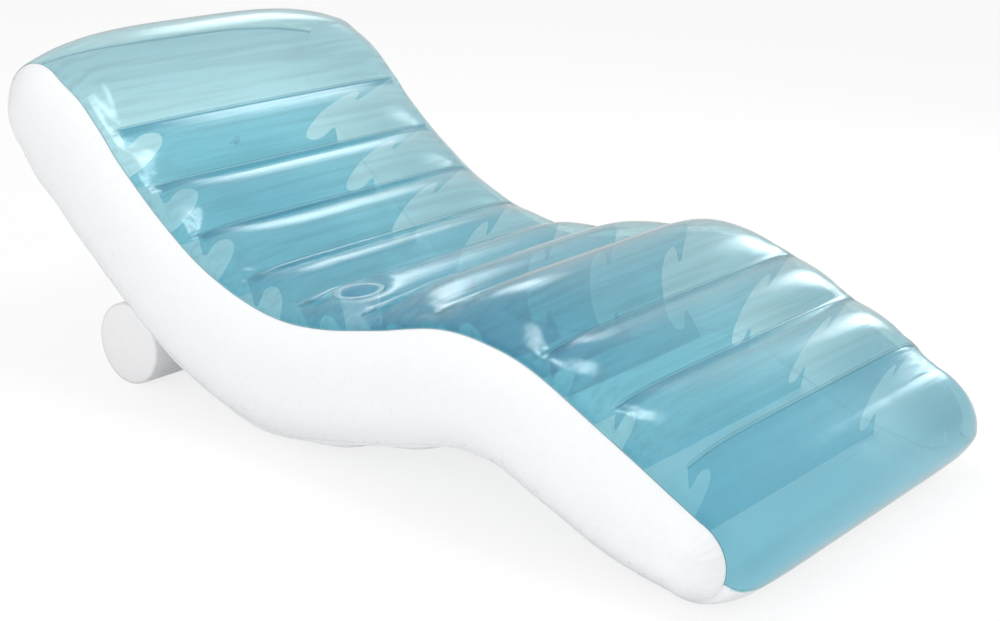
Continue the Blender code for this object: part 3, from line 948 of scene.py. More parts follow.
    def nose_run_of(
        self, end: int, degrees: np.ndarray, slides: np.ndarray | float = 0.0
    ) -> Stations:
        """Makes stations round a nose.

        Args:
            end: 0 for the head nose and 1 for the foot nose.
            degrees: Their angles from the top seam curve.
            slides: How far they slide on along the nose.

        Returns:
            The stations.
        """
        tip = self.spine(np.array([float(end)]))
        centre, normal, tangent, depth = (value[0] for value in tip)
        away = tangent if end else -tangent
        length = self.foot_nose if end else self.head_nose
        angle = np.radians(degrees)
        angle = angle + slides / np.hypot(depth * np.sin(angle), length * np.cos(angle))
        cosine, sine = np.cos(angle)[:, None], np.sin(angle)[:, None]
        points = centre + normal * depth * cosine + away * length * sine
        lean = normal * cosine / depth + away * sine / length
        lean /= np.linalg.norm(lean, axis=1)[:, None]
        feet = np.repeat(centre[None], len(points), axis=0)
        return Stations(points, feet, lean, np.full(len(points), np.nan), np.zeros(len(points)))

    def spine_shares_between_welds(self) -> tuple[np.ndarray, np.ndarray]:
        """Lists the spine's fine shares, closer by the welds.

        Returns:
            The shares, and for each one the number of its weld or -1.
        """
        band = self.weld_half_band / self.spine_run[-1]
        ease = np.linspace(0.0, 1.0, self.steps_between + 1)
        eased = 0.5 - 0.5 * np.cos(np.pi * ease)
        eased = (1.0 - self.steady_step) * eased + self.steady_step * ease
        shares, marks = [], []
        ends = (0.0, *self.weld_places, 1.0)
        for number, (start, end) in enumerate(zip(ends, ends[1:])):
            first = start + (band if number else 0.0)
            last = end - (band if number < len(ends) - 2 else 0.0)
            shares += list(first + (last - first) * eased)
            marks += [-1] * len(eased)
            if number < len(ends) - 2:
                shares.append(end)
                marks.append(number)
        return np.array(shares), np.array(marks)

    def loop(self) -> tuple[Stations, int]:
        """Builds the closed outline: the top from head seam to foot seam, then the bottom back.

        Returns:
            The levelled stations with their heights, and how many of them the top has.
        """
        shares, marks = self.spine_shares_between_welds()

        def rises(usual: float, rise_shares: tuple[float, ...]) -> np.ndarray:
            """Lists the welds' rises, and NaN away from welds."""
            return np.array([np.nan if mark < 0 else usual * rise_shares[mark] for mark in marks])

        top_rises = rises(self.weld_rise, self.weld_rise_shares)
        bottom_rises = rises(self.bottom_weld_rise, self.bottom_rise_shares)
        head, foot = self.head_seam_angle, self.foot_seam_angle
        counts = self.nose_steps
        top = joined([
            self.nose_run_of(0, np.linspace(head, 0.0, counts[0])[:-1]),
            self.spine_run_of(shares, 1, top_rises),
            self.nose_run_of(1, np.linspace(0.0, foot, counts[1])[1:]),
        ])
        bottom = joined([
            self.nose_run_of(1, np.linspace(foot, 180.0, counts[2])[:-1]),
            self.spine_run_of(shares[::-1], -1, bottom_rises[::-1]),
            self.nose_run_of(0, np.linspace(180.0, head, counts[3])[1:]),
        ])
        whole = joined([top, bottom])
        self.puff(whole)
        self.level(whole)
        return whole, len(top)

    def puff(self, loop: Stations) -> None:
        """Sets the rise and crown of every station.

        Args:
            loop: The stations of the closed outline.
        """
        count = len(loop)
        steps = np.linalg.norm(loop.points - np.roll(loop.points, 1, axis=0), axis=1)
        run = np.cumsum(steps) - steps[0]
        total = run[-1] + steps[0]
        welds = np.flatnonzero(~np.isnan(loop.anchors))
        loop.run = run
        loop.rises, loop.crowns, loop.shares, loop.lengths = (np.zeros(count) for _ in range(4))
        loop.zones = np.zeros((count, 4))
        half = len(welds) // 2
        following = [*welds[1:], welds[0] + count]
        for number, (start, end) in enumerate(zip(welds, following), start=1):
            inside = np.arange(start, end) % count
            place = run[inside] + total * (np.arange(start, end) >= count)
            length = run[end % count] + total * (end >= count) - run[start]
            share = (place - run[start]) / length
            cap = number % half == 0
            fade = self.cap_fade if cap else 1.0
            first, last = loop.anchors[start], loop.anchors[end % count]
            loop.rises[inside] = first * (1.0 - share) ** fade + last * share**fade
            if number < half:
                crown, zone = self.crown_share * length, Zone.CHANNEL
            elif number == half:
                down = np.minimum(loop.normals[inside, 1], 0.0)
                resting = 1.0 + (1.0 - self.resting_crown_share) * down
                crown, zone = self.foot_crown * resting, Zone.FOOT_CAP
            elif number < 2 * half:
                crown, zone = self.bottom_crown_share * length, Zone.UNDERSIDE
            else:
                crown, zone = self.head_crown, Zone.HEAD_CAP
            loop.crowns[inside] = crown
            loop.shares[inside] = share
            loop.lengths[inside] = length
            loop.zones[inside] = zone.value

    def level(self, loop: Stations) -> None:
        """Turns and moves an outline to the frame's level.

        Args:
            loop: The stations.
        """
        cosine, sine = math.cos(self.level_turn), math.sin(self.level_turn)
        turn = np.array(((cosine, sine), (-sine, cosine)))
        loop.points = loop.points @ turn + self.level_move
        loop.feet = loop.feet @ turn + self.level_move
        loop.normals = loop.normals @ turn

    def columns(self) -> np.ndarray:
        """Lists the grid's places across the lounge.

        Returns:
            The places, closer towards the seams.
        """
        inner = np.arange(0.0, self.fine_reach, self.column_step)
        start = math.asin((self.fine_reach / self.seam_half_width) ** self.edge_power)
        angles = np.linspace(start, math.pi / 2.0, self.edge_columns)
        outer = self.seam_half_width * np.sin(angles) ** (1.0 / self.edge_power)
        half = np.concatenate([inner, outer])
        return np.concatenate([-half[:0:-1], half])

    def heights(self, stations: Stations, across: np.ndarray) -> np.ndarray:
        """Gives the sheet's height over the design line.

        Args:
            stations: The stations along the sheet.
            across: Places across it.

        Returns:
            The heights by station and place.
        """
        share_out = np.minimum(np.abs(across) / self.seam_half_width, 1.0)[None]
        rise = stations.rises[:, None] * (1.0 - share_out**self.rise_power) ** self.rise_root
        place = stations.shares[:, None]
        later = smoothstep((place - self.zone_turn) / self.zone_turn_length)
        first_power, first_root, last_power, last_root = stations.zones.T[..., None]
        power = first_power * (1.0 - later) + last_power * later
        root = first_root * (1.0 - later) + last_root * later
        over = (1.0 - share_out**power) ** root
        band = self.weld_half_band / stations.lengths[:, None]
        share = np.clip((place - band) / (1.0 - 2.0 * band), 0.0, 1.0)
        arch = 0.5 * np.sin(np.pi * share) + 2.0 * share * (1.0 - share)
        caps = np.isin(first_power, (Zone.FOOT_CAP.value[0], Zone.HEAD_CAP.value[0]))
        arch = np.where(caps, np.sin(np.pi * share), arch)
        soft = np.sin(np.pi * place) ** 2
        past_end = np.abs(across)[None] - self.weld_end
        beyond = smoothstep((past_end + self.end_ease) / self.end_ease_length)
        return rise + stations.crowns[:, None] * over * (arch * (1.0 - beyond) + soft * beyond)


@dataclass
class CupPlace:
    """The cup pocket's place on the top sheet.

    Attributes:
        middle: The middle of its mouth.
        out: The way out of its mouth.
        radius: The mouth's radius.
    """

    middle: Vector = field(default_factory=lambda: Vector((-0.33, 0.01456, 0.32271)))
    out: Vector = field(default_factory=lambda: Vector((-0.09035, 0.1357, 0.98662)).normalized())
    radius: float = 0.0405

    def matrix(self) -> Matrix:
        """Gives the pocket's frame with Z out of its mouth."""
        return frame_along(self.middle, self.out, Vector((1.0, 0.0, 0.0)))


@dataclass
class AirChamber:
    """The lounge's chamber: top, bottom and side sheets and ten baffles.

    Attributes:
        finishes: The lounge's finishes.
        shape: Its sizes.
        cup: The place of the cup pocket in the top sheet.
        pucker: How deep the folds at the welds' ends are.
        pucker_reach: How far these folds reach.
        pucker_count: How many of them fan out from an end.
        crease: How deep the finer creases that run further in are.
        crease_reach: How far these creases reach.
        crease_count: How many of them fan out from an end.
        fan_inset: How far inside a weld's end the folds start.
        fan_core: How far from there they are full.
        fan_start, crease_core, crease_start: Where they fade in and how softly.
        seam_calm: How far from the side seams the folds fade.
        lap_follow: How much of a sheet's height its laps over the sides follow.
        side_mark, end_mark: How far, in millimetres, the weld marks are set off at the seams.
        flange: How wide a baffle's welded margin is.
        flange_fade: How softly it ends.
        flange_tip, flange_tip_fade: How far inside the weld's end it ends, and how softly.
        foot_shade_start, foot_shade_length: Where the foot end's painted shade begins and how soon
            it is full.
        cup_flat, cup_ease: How far round the pocket the sheet is flat and how it eases off.
        cup_depth: How far from its plane the sheet is taken as the pocket's.
        gather_depth: How deep the side sheets' gathers at the foot are.
        gather_waves: Each of their waves' length, share and start.
        gather_blend: Over how many stations they fade at the nose's ends.
        notch_reaches: How far in each baffle's notches go.
        notch_shares: The upper half of a notch, as shares of its reach and half height.
        notch_steps: How many points lie between two of these marks.
        rings: The side sheets' rings, as shares of the outline.
    """

    finishes: Finishes
    shape: ChamberShape = field(default_factory=ChamberShape)
    cup: CupPlace = field(default_factory=CupPlace)
    pucker: float = 0.0016
    pucker_reach: float = 0.03
    pucker_count: float = 4.0
    crease: float = 0.0005
    crease_reach: float = 0.11
    crease_count: float = 11.0
    fan_inset: float = 0.012
    fan_core: float = 0.008
    fan_start: tuple[float, float] = (0.3, 0.08)
    crease_core: tuple[float, float] = (0.01, 0.03)
    crease_start: tuple[float, float] = (0.24, 0.1)
    seam_calm: float = 0.02
    lap_follow: float = 0.7
    side_mark: float = 2.0
    end_mark: float = 2.5
    flange: float = 0.016
    flange_fade: float = 0.008
    flange_tip: float = 0.008
    flange_tip_fade: float = 0.01
    foot_shade_start: float = -0.7
    foot_shade_length: float = 0.14
    cup_flat: float = 0.052
    cup_ease: float = 0.035
    cup_depth: float = 0.06
    gather_depth: float = 0.0011
    gather_waves: tuple[tuple[float, float, float], ...] = ((0.019, 1.0, 0.0), (0.031, 0.6, 1.0))
    gather_blend: int = 9
    notch_reaches: tuple[float, ...] = (
        0.174, 0.166, 0.148, 0.13, 0.122, 0.13, 0.124, 0.126, 0.112, 0.118,
    )
    notch_shares: tuple[tuple[float, float], ...] = (
        (0.0, 0.0), (0.12, 0.2), (0.25, 0.41), (0.34, 0.55), (0.41, 0.55),
        (0.43, 0.43), (0.46, 0.32), (0.53, 0.27), (0.62, 0.275), (0.74, 0.33),
        (0.86, 0.45), (0.95, 0.62), (0.995, 0.81), (1.0, 1.0),
    )
    notch_steps: int = 8
    rings: tuple[float, ...] = (
        1.0, 0.99, 0.975, 0.955, 0.93, 0.9, 0.86, 0.81, 0.75, 0.68, 0.6, 0.51, 0.41, 0.3, 0.18, 0.0,
    )

    def __post_init__(self) -> None:
        """Builds the outline."""
        self.loop, self.top_count = self.shape.loop()

    def build(self) -> list[Piece]:
        """Builds every piece of the chamber.

        Returns:
            The pieces, ready to hand over.
        """
        top = self.loop.part(slice(0, self.top_count))
        bottom = self.loop.part(slice(self.top_count, None))
        pieces = [
            Piece(self.top_sheet(top), ("top_panel",), Slot.AQUA, fill=1.0),
            Piece(self.bottom_sheet(top, bottom), ("bottom_panel",), Slot.WHITE, fill=1.0),
        ]
        for side, name in ((-1.0, "right_side_panel"), (1.0, "left_side_panel")):
            pieces.append(Piece(self.side_sheet(name, side), (name,), Slot.WHITE, fill=1.0))
        pieces += self.baffles(top, bottom)
        return pieces

    def sheet_points(
        self, stations: Stations, across: np.ndarray
    ) -> tuple[np.ndarray, dict[str, np.ndarray]]:
        """Gives a sheet's outer points with a lap over the side sheets.

        Args:
            stations: The sheet's stations.
            across: Its places across.

        Returns:
            The points by station and column, and their values: weld_mm places the marks of welds
            and seams, flange covers the baffles' welded margins, and cap paints shade
            at the foot end.
        """
        shape = self.shape
        offset = GAP + SHEET + stations.lifts[:, None]
        height = shape.heights(stations, across) + offset + self.folds(stations, across)
        plane = stations.points[:, None] + stations.normals[:, None] * height[..., None]
        columns = np.broadcast_to(across[None, :, None], (*height.shape, 1))
        points = np.concatenate([columns, plane], axis=-1)
        edge = stations.feet + (stations.points - stations.feet) * LAP_SHARE
        out = shape.seam_half_width + self.bulge(LAP_SHARE) + GAP + SHEET
        laps = [np.column_stack([np.full(len(edge), side * out), edge]) for side in (-1.0, 1.0)]
        for lap in laps:
            lap[:, 1:] += stations.normals * (offset * self.lap_follow)
        points[:, 0, 0] -= GAP + SHEET
        points[:, -1, 0] += GAP + SHEET
        points = np.concatenate([laps[0][:, None], points, laps[1][:, None]], axis=1)
        wide = np.concatenate([[shape.seam_half_width], np.abs(across), [shape.seam_half_width]])
        reach = stations.shares * stations.lengths
        margin = 1.0 - smoothstep((reach - self.flange) / self.flange_fade)
        past_tip = wide[None] - shape.weld_end + self.flange_tip
        margin = margin[:, None] * (1.0 - smoothstep(past_tip / self.flange_tip_fade))
        # Painted shade: the cap mask darkens the sheet's tint towards the foot end.
        cap = smoothstep((self.foot_shade_start - stations.points[:, :1]) / self.foot_shade_length)
        cap = np.repeat(cap, len(wide), axis=1)
        marks = self.seam_marks(stations, points, wide)
        return points, {"weld_mm": marks, "flange": margin, "cap": cap}

    def seam_marks(self, stations: Stations, points: np.ndarray, wide: np.ndarray) -> np.ndarray:
        """Measures how far a sheet's points lie from its welds and seams.

        Args:
            stations: The sheet's stations.
            points: Its points by station and column.
            wide: The columns' distances from the middle.

        Returns:
            The distances in millimetres, set off a little at the seams.
        """
        away = np.minimum(stations.shares, 1.0 - stations.shares) * stations.lengths * 1000.0
        past = np.maximum(wide - self.shape.weld_end, 0.0) * 1000.0
        from_weld = np.hypot(away[:, None], past[None])
        steps = np.linalg.norm(np.diff(points, axis=1), axis=2) * 1000.0
        from_side = np.cumsum(np.concatenate([np.zeros((len(points), 1)), steps], axis=1), axis=1)
        from_side = np.minimum(from_side, from_side[:, ::-1])
        run = np.cumsum(np.linalg.norm(np.diff(stations.points, axis=0), axis=1)) * 1000.0
        run = np.concatenate([[0.0], run])
        from_end = np.minimum(run, run[-1] - run)
        from_seam = np.minimum(from_side + self.side_mark, from_end[:, None] - self.end_mark)
        return np.minimum(from_weld, from_seam)

    def folds(self, stations: Stations, across: np.ndarray) -> np.ndarray:
        """Gives the small folds that fan out from each weld's ends.

        Args:
            stations: The stations along the sheet.
            across: Places across it.

        Returns:
            The rises by station and place.
        """
        shape = self.shape
        shares = stations.shares
        toward = (np.where(shares < 0.5, shares, shares - 1.0) * stations.lengths)[:, None]
        wide = np.abs(across)[None]
        past = wide - shape.weld_end + self.fan_inset
        far = np.hypot(toward, past)
        angle = np.arctan2(toward, past)
        seed = np.round(stations.rises * 1e4)[:, None] + np.sign(across)[None]
        fan = np.cos(self.pucker_count * angle + seed) * np.exp(-((far / self.pucker_reach) ** 2))
        fan *= np.clip(far / self.fan_core, 0.0, 1.0) * fade_in(wide, self.fan_start)
        rays = np.cos(self.crease_count * angle + 2.0 * seed)
        rays *= np.exp(-((far / self.crease_reach) ** 2)) * fade_in(far, self.crease_core)
        rays *= fade_in(wide, self.crease_start)
        edge = np.clip((shape.seam_half_width - wide) / self.seam_calm, 0.0, 1.0)
        return (self.pucker * fan + self.crease * rays) * edge

    def bulge(self, share: float | np.ndarray) -> float | np.ndarray:
        """Gives how far a side sheet's ring stands out, by its share of the outline."""
        return self.shape.side_bulge * (1.0 - share * share)

    def top_sheet(self, top: Stations) -> Thing:
        """Builds the channelled clear sheet with the cup pocket's mouth.

        Args:
            top: Its stations.

        Returns:
            The sheet.
        """
        points, values = self.sheet_points(top, self.shape.columns())
        self.flatten_for_cup(points)
        mesh = grid_mesh("top_sheet", points, values)
        outward(mesh, lambda spot: Vector((0.0, spot.y, spot.z - 0.5)))
        self.cut_cup_mouth(mesh)
        thing = object_from("top_sheet", mesh, self.finishes.aqua)
        return thickened(thing)

    def flatten_for_cup(self, points: np.ndarray) -> None:
        """Eases the sheet onto the plane of the pocket's mouth.

        Args:
            points: The sheet's points, which are moved.
        """
        matrix = np.array(self.cup.matrix())
        local = (points - matrix[:3, 3]) @ matrix[:3, :3]
        reach = np.hypot(local[..., 0], local[..., 1])
        weight = 1.0 - smoothstep((reach - self.cup_flat) / self.cup_ease)
        weight = np.where(np.abs(local[..., 2]) < self.cup_depth, weight, 0.0)
        points += (-local[..., 2] * weight)[..., None] * matrix[:3, 2]

    def cut_cup_mouth(self, mesh: Mesh) -> None:
        """Opens the sheet over the pocket, with a round edge.

        Args:
            mesh: The sheet's mesh, which is changed.
        """
        forward = self.cup.matrix()
        back = forward.inverted()
        bm = bmesh.new()
        bm.from_mesh(mesh)
        inside = []
        for vert in bm.verts:
            spot = back @ vert.co
            if spot.xy.length < self.cup.radius and abs(spot.z) < self.cup_depth / 2.0:
                inside.append(vert)
        near = {other for vert in inside for link in vert.link_edges for other in link.verts}
        edge = near - set(inside)
        bmesh.ops.delete(bm, geom=inside, context="VERTS")
        for vert in edge:
            spot = back @ vert.co
            spot.xy *= self.cup.radius / spot.xy.length
            vert.co = forward @ spot
        bm.to_mesh(mesh)
        bm.free()

    def bottom_sheet(self, top: Stations, bottom: Stations) -> Thing:
        """Builds the white sheet underneath, lapping over the top sheet's ends.

        Args:
            top: The top sheet's stations.
            bottom: Its own stations.

        Returns:
            The sheet.
        """
        shape = self.shape
        steps = np.linspace(-shape.seam_lap, 0.0, 4)[:-1]
        laps = []
        seams = ((1, shape.foot_seam_angle, len(top) - 1), (0, shape.head_seam_angle, 0))
        for end, angle, twin in seams:
            lap = shape.nose_run_of(end, np.full(len(steps), angle), steps)
            shape.level(lap)
            near = top.part(np.full(len(steps), twin))
            for name in ("rises", "crowns", "shares", "lengths", "zones", "run"):
                setattr(lap, name, getattr(near, name).copy())
            along = steps / lap.lengths
            lap.shares = lap.shares + (along if end else -along)
            laps.append(lap)
        whole = joined([laps[0], bottom, laps[1].part(slice(None, None, -1))])
        reach = np.linalg.norm(np.diff(whole.points, axis=0), axis=1)
        along = np.concatenate([[0.0], np.cumsum(reach)])
        from_end = np.minimum(along, along[-1] - along)
        past_lap = smoothstep((from_end - shape.seam_lap) / shape.seam_lap)
        whole.lifts = (GAP + SHEET) * (1.0 - past_lap)
        points, values = self.sheet_points(whole, shape.columns()[::2])
        points[..., 2] = np.maximum(points[..., 2], 0.0)
        mesh = grid_mesh("bottom_sheet", points, values)
        outward(mesh, lambda spot: Vector((0.0, spot.y, spot.z + 0.5)))
        thing = object_from("bottom_sheet", mesh, self.finishes.white)
        return thickened(thing)

    def side_sheet(self, name: str, side: float) -> Thing:
        """Builds one bulging white side with small gathers round the foot's nose.

        Args:
            name: The side's node.
            side: -1 for the right side and 1 for the left.

        Returns:
            The sheet.
        """
        loop = self.loop
        shares = np.array(self.rings)
        spokes = (loop.points - loop.feet)[:, None]
        plane = loop.feet[:, None] + spokes * shares[None, :, None]
        nose = loop.feet[:, 0] < 0.0
        for turn in (1, -1):
            away = np.linalg.norm(loop.feet - np.roll(loop.feet, turn, axis=0), axis=1)
            nose &= away < 1e-6
        blend = np.full(self.gather_blend, 1.0 / self.gather_blend)
        gather = np.convolve(nose.astype(float), blend, mode="same")
        wave = sum(
            share * np.sin(loop.run * 2.0 * math.pi / length + start)
            for length, share, start in self.gather_waves
        )
        fade = np.clip((0.98 - shares) / 0.04, 0.0, 1.0) * np.clip((shares - 0.55) / 0.3, 0.0, 1.0)
        relief = self.gather_depth * (gather * wave)[:, None] * fade[None]
        out = self.shape.seam_half_width + self.bulge(shares)[None] + relief
        points = np.concatenate([side * out[..., None], plane], axis=-1)
        mesh = grid_mesh(name, points, {}, closed=True)
        bm = bmesh.new()
        bm.from_mesh(mesh)
        bmesh.ops.remove_doubles(bm, verts=bm.verts, dist=1e-5)
        bmesh.ops.dissolve_degenerate(bm, dist=1e-6, edges=bm.edges)
        bm.to_mesh(mesh)
        bm.free()
        outward(mesh, lambda spot: Vector((0.0, spot.y, spot.z)))
        thing = object_from(name.replace("_panel", "_sheet"), mesh, self.finishes.white)
        return thickened(thing)

    def baffles(self, top: Stations, bottom: Stations) -> list[Piece]:
        """Builds the baffles between the welds of both sheets.

        Args:
            top: The top sheet's stations.
            bottom: The bottom sheet's stations.

        Returns:
            The ten pieces.
        """
        upper = np.flatnonzero(~np.isnan(top.anchors))
        lower = np.flatnonzero(~np.isnan(bottom.anchors))[::-1]
        pieces = []
        for number, (high, low, reach) in enumerate(zip(upper, lower, self.notch_reaches), start=1):
            roof, sill = top.part(slice(high, high + 1)), bottom.part(slice(low, low + 1))
            thing = self.baffle(f"inner_sheet_{number:02d}", roof, sill, reach)
            pieces.append(Piece(thing, (f"baffle_{number:02d}",), Slot.BAFFLE))
        return pieces

    def baffle(self, name: str, top: Stations, bottom: Stations, reach: float) -> Thing:
        """Builds one flat baffle with a round notch at each end.

        Args:
            name: The piece's name.
            top: The weld's station on the top sheet.
            bottom: Its twin on the bottom sheet.
            reach: How far in its notches go.

        Returns:
            The baffle as a closed thin sheet.
        """
        shape = self.shape
        up = top.normals[0]
        middle = top.feet[0]
        high = float(np.linalg.norm(top.points[0] - middle))
        low = float(np.linalg.norm(bottom.points[0] - bottom.feet[0]))
        places = np.linspace(0.0, shape.weld_end, 40)
        roof = high + shape.heights(top, places)[0] - GAP / 2.0
        sill = -low - shape.heights(bottom, places)[0] + GAP / 2.0
        notch = self.smooth_notch() * (reach, (roof[-1] - sill[-1]) / 2.0)
        inward = shape.weld_end - notch[:, 0]
        across = np.concatenate([places, inward, inward[::-1], places[::-1]])
        notched = (roof[-1] - notch[:, 1], sill[-1] + notch[::-1, 1])
        height = np.concatenate([roof, *notched, sill[::-1]])
        outline = np.column_stack([across, height])
        mirrored = outline[::-1] * (-1.0, 1.0)
        outline = np.concatenate([outline, mirrored[1:-1]])
        keep = np.linalg.norm(outline - np.roll(outline, 1, axis=0), axis=1) > 1e-5
        ring = [Vector(spot) for spot in outline[keep].tolist()]
        face = list(range(len(ring)))
        spots, _, triangles, *_ = delaunay_2d_cdt(ring, [], [face], 1, 1e-6)
        mesh = bpy.data.meshes.new(name)
        mesh.from_pydata([(spot.x, *(middle + up * spot.y)) for spot in spots], [], triangles)
        mark_points(mesh, "weld_mm", np.full(len(mesh.vertices), FAR_FROM_WELDS))
        thing = object_from(name, mesh, self.finishes.baffle, smooth=False)
        return thickened(thing, 0.0)

    def smooth_notch(self) -> np.ndarray:
        """Draws the notch's upper half.

        Returns:
            A smooth curve in shares: inward and down from the weld's end.
        """
        marks = np.array(self.notch_shares)
        after = (marks[-2, 0], 2.0 * marks[-1, 1] - marks[-2, 1])
        padded = np.vstack([marks[0] * 2.0 - marks[1], marks, after])
        return curve_through(padded, self.notch_steps)


# Turned pieces


def turned(name: str, profile: Section, steps: int, frame: Matrix, material: Material) -> Thing:
    """Turns a closed or axis-to-axis profile round a frame's Z axis.

    Args:
        name: The piece's name.
        profile: Radius and height pairs, counter-clockwise round the section.
        steps: How many steps make the round.
        frame: The frame to turn it in.
        material: Its finish.

    Returns:
        The closed piece.
    """
    bm = bmesh.new()
    rings = []
    for step in range(steps):
        angle = 2.0 * math.pi * step / steps
        cosine, sine = math.cos(angle), math.sin(angle)
        rings.append([
            bm.verts.new(frame @ Vector((radius * cosine, radius * sine, height)))
            for radius, height in profile
        ])
    on_axis = profile[0][0] == 0.0 and profile[-1][0] == 0.0
    count = len(profile) - 1 if on_axis else len(profile)
    for ring, following in zip(rings, [*rings[1:], rings[0]]):
        for index in range(count):
            onward = (index + 1) % len(profile)
            bm.faces.new((ring[index], following[index], following[onward], ring[onward]))
    bmesh.ops.remove_doubles(bm, verts=bm.verts, dist=1e-7)
    bmesh.ops.dissolve_degenerate(bm, dist=1e-8, edges=bm.edges)
    bmesh.ops.recalc_face_normals(bm, faces=bm.faces)
    mesh = mesh_of(name, bm)
    mark_points(mesh, "weld_mm", np.full(len(mesh.vertices), FAR_FROM_WELDS))
    return object_from(name, mesh, material)


def rounded(corners: Section, radius: float = BEVEL) -> Section:
    """Rounds the corners of a section that are off the axis.

    Args:
        corners: The section's corners.
        radius: How far from a corner the rounding starts.

    Returns:
        The rounded section.
    """
    spots = []
    marks = [Vector(corner) for corner in corners]
    for index, corner in enumerate(marks):
        if corner.x == 0.0:
            spots.append(tuple(corner))
            continue
        ways = (marks[index - 1] - corner, marks[(index + 1) % len(marks)] - corner)
        first, last = (
            corner + way.normalized() * min(radius, way.length * ROUNDING_LIMIT) for way in ways
        )
        for step in range(ROUNDING_STEPS + 1):
            share = step / ROUNDING_STEPS
            spot = first.lerp(corner, share).lerp(corner.lerp(last, share), share)
            spots.append(tuple(spot))
    return spots


def slab(inner: float, outer: float, low: float, high: float) -> Section:
    """Lists the corners of a disc's or ring's section, counter-clockwise."""
    return ((inner, low), (outer, low), (outer, high), (inner, high))


@dataclass
class CupPocket:
    """The welded ring, the tapering wall and the floor of the cup pocket.

    Attributes:
        finishes: The lounge's finishes.
        cup: The pocket's place.
        floor_radius: The floor's radius inside the wall.
        depth: The pocket's depth.
        rim_width: How far the ring reaches past the mouth.
        rim_inset: How far it reaches inside the mouth.
        rim_thickness: How thick it is.
        floor_lip: How far the floor reaches past the wall.
        floor_rounding: How round the floor's edge is.
        pinch: How far the air presses the wall in.
        beads: How many weld beads the ring has.
        bead_radius: How big they are.
        steps: How many steps make a round.
        wall_steps: How many places the wall has along its depth.
    """

    finishes: Finishes
    cup: CupPlace = field(default_factory=CupPlace)
    floor_radius: float = 0.036
    depth: float = 0.095
    rim_width: float = 0.009
    rim_inset: float = 0.0025
    rim_thickness: float = 0.0008
    floor_lip: float = 0.002
    floor_rounding: float = 0.00015
    pinch: float = 0.0012
    beads: int = 44
    bead_radius: float = 0.0007
    steps: int = 72
    wall_steps: int = 14

    def build(self) -> list[Piece]:
        """Builds the pocket's pieces.

        Returns:
            The three pieces, ready to hand over.
        """
        frame = self.cup.matrix()
        inner = self.cup.radius - self.rim_inset
        outer = self.cup.radius + self.rim_width
        top = GAP + self.rim_thickness
        under = -self.depth - GAP
        disc = slab(0.0, self.floor_radius + self.floor_lip, under - SHEET, under)
        sections = {
            "ring": rounded(slab(inner, outer, GAP, top)),
            "wall": self.wall_section(),
            "floor": rounded(disc, self.floor_rounding),
        }
        rim, wall, floor = (
            turned(f"pocket_{label}", section, self.steps, frame, self.finishes.pocket)
            for label, section in sections.items()
        )
        place = frame @ Matrix.Translation((0.0, 0.0, top))
        add_beads(rim, place, (inner + outer) / 2.0, self.beads, self.bead_radius)
        nodes = {"cup_rim": rim, "cup_wall": wall, "cup_floor": floor}
        return [Piece(thing, (node,), Slot.POCKET) for node, thing in nodes.items()]

    def wall_section(self) -> Section:
        """Draws the wall's section, pressed in a little between its ends.

        Returns:
            The section: down the inner face and back up the outer one.
        """
        top = self.cup.radius - GAP
        spots = []
        for share in np.linspace(0.0, 1.0, self.wall_steps):
            pressed = self.pinch * math.sin(math.pi * share)
            spots.append((top + (self.floor_radius - top) * share - pressed, -self.depth * share))
        return [(radius - SHEET, height) for radius, height in spots] + spots[::-1]


def add_beads(thing: Thing, frame: Matrix, radius: float, count: int, size: float) -> Thing:
    """Adds a ring of small welded beads to a piece with Geometry Nodes.

    Args:
        thing: The piece that gets the beads.
        frame: The frame whose XY plane holds the ring.
        radius: The ring's radius.
        count: How many beads it has.
        size: A bead's radius.

    Returns:
        The same object as one plain mesh.
    """
    tree = bpy.data.node_groups.new(thing.name + "_beads", "GeometryNodeTree")
    tree.interface.new_socket("Geometry", in_out="INPUT", socket_type="NodeSocketGeometry")
    given = {}
    for label, kind, value in (
        ("Ring radius", "Float", radius), ("Bead radius", "Float", size), ("Count", "Int", count),
    ):
        kind = "NodeSocket" + kind
        socket = tree.interface.new_socket(label, in_out="INPUT", socket_type=kind)
        given[socket.identifier] = value
    tree.interface.new_socket("Geometry", in_out="OUTPUT", socket_type="NodeSocketGeometry")
    entry = tree.nodes.new("NodeGroupInput")
    circle = tree.nodes.new("GeometryNodeMeshCircle")
    bead = tree.nodes.new("GeometryNodeMeshIcoSphere")
    bead.inputs["Subdivisions"].default_value = 2
    copies = tree.nodes.new("GeometryNodeInstanceOnPoints")
    real = tree.nodes.new("GeometryNodeRealizeInstances")
    dress = tree.nodes.new("GeometryNodeSetMaterial")
    dress.inputs["Material"].default_value = thing.data.materials[0]
    place = tree.nodes.new("GeometryNodeTransform")
    place.inputs["Translation"].default_value = frame.translation
    place.inputs["Rotation"].default_value = frame.to_euler()
    both = tree.nodes.new("GeometryNodeJoinGeometry")
    out = tree.nodes.new("NodeGroupOutput")
    wires = (
        (entry.outputs["Ring radius"], circle.inputs["Radius"]),
        (entry.outputs["Count"], circle.inputs["Vertices"]),
        (entry.outputs["Bead radius"], bead.inputs["Radius"]),
        (circle.outputs["Mesh"], copies.inputs["Points"]),
        (bead.outputs["Mesh"], copies.inputs["Instance"]),
        (copies.outputs["Instances"], real.inputs["Geometry"]),
        (real.outputs["Geometry"], dress.inputs["Geometry"]),
        (dress.outputs["Geometry"], place.inputs["Geometry"]),
        (entry.outputs["Geometry"], both.inputs["Geometry"]),
        (place.outputs["Geometry"], both.inputs["Geometry"]),
        (both.outputs["Geometry"], out.inputs["Geometry"]),
    )
    for start, end in wires:
        tree.links.new(start, end)
    modifier = thing.modifiers.new("beads", "NODES")
    modifier.node_group = tree
    for identifier, value in given.items():
        modifier[identifier] = value
    return smoothed(plain(thing))


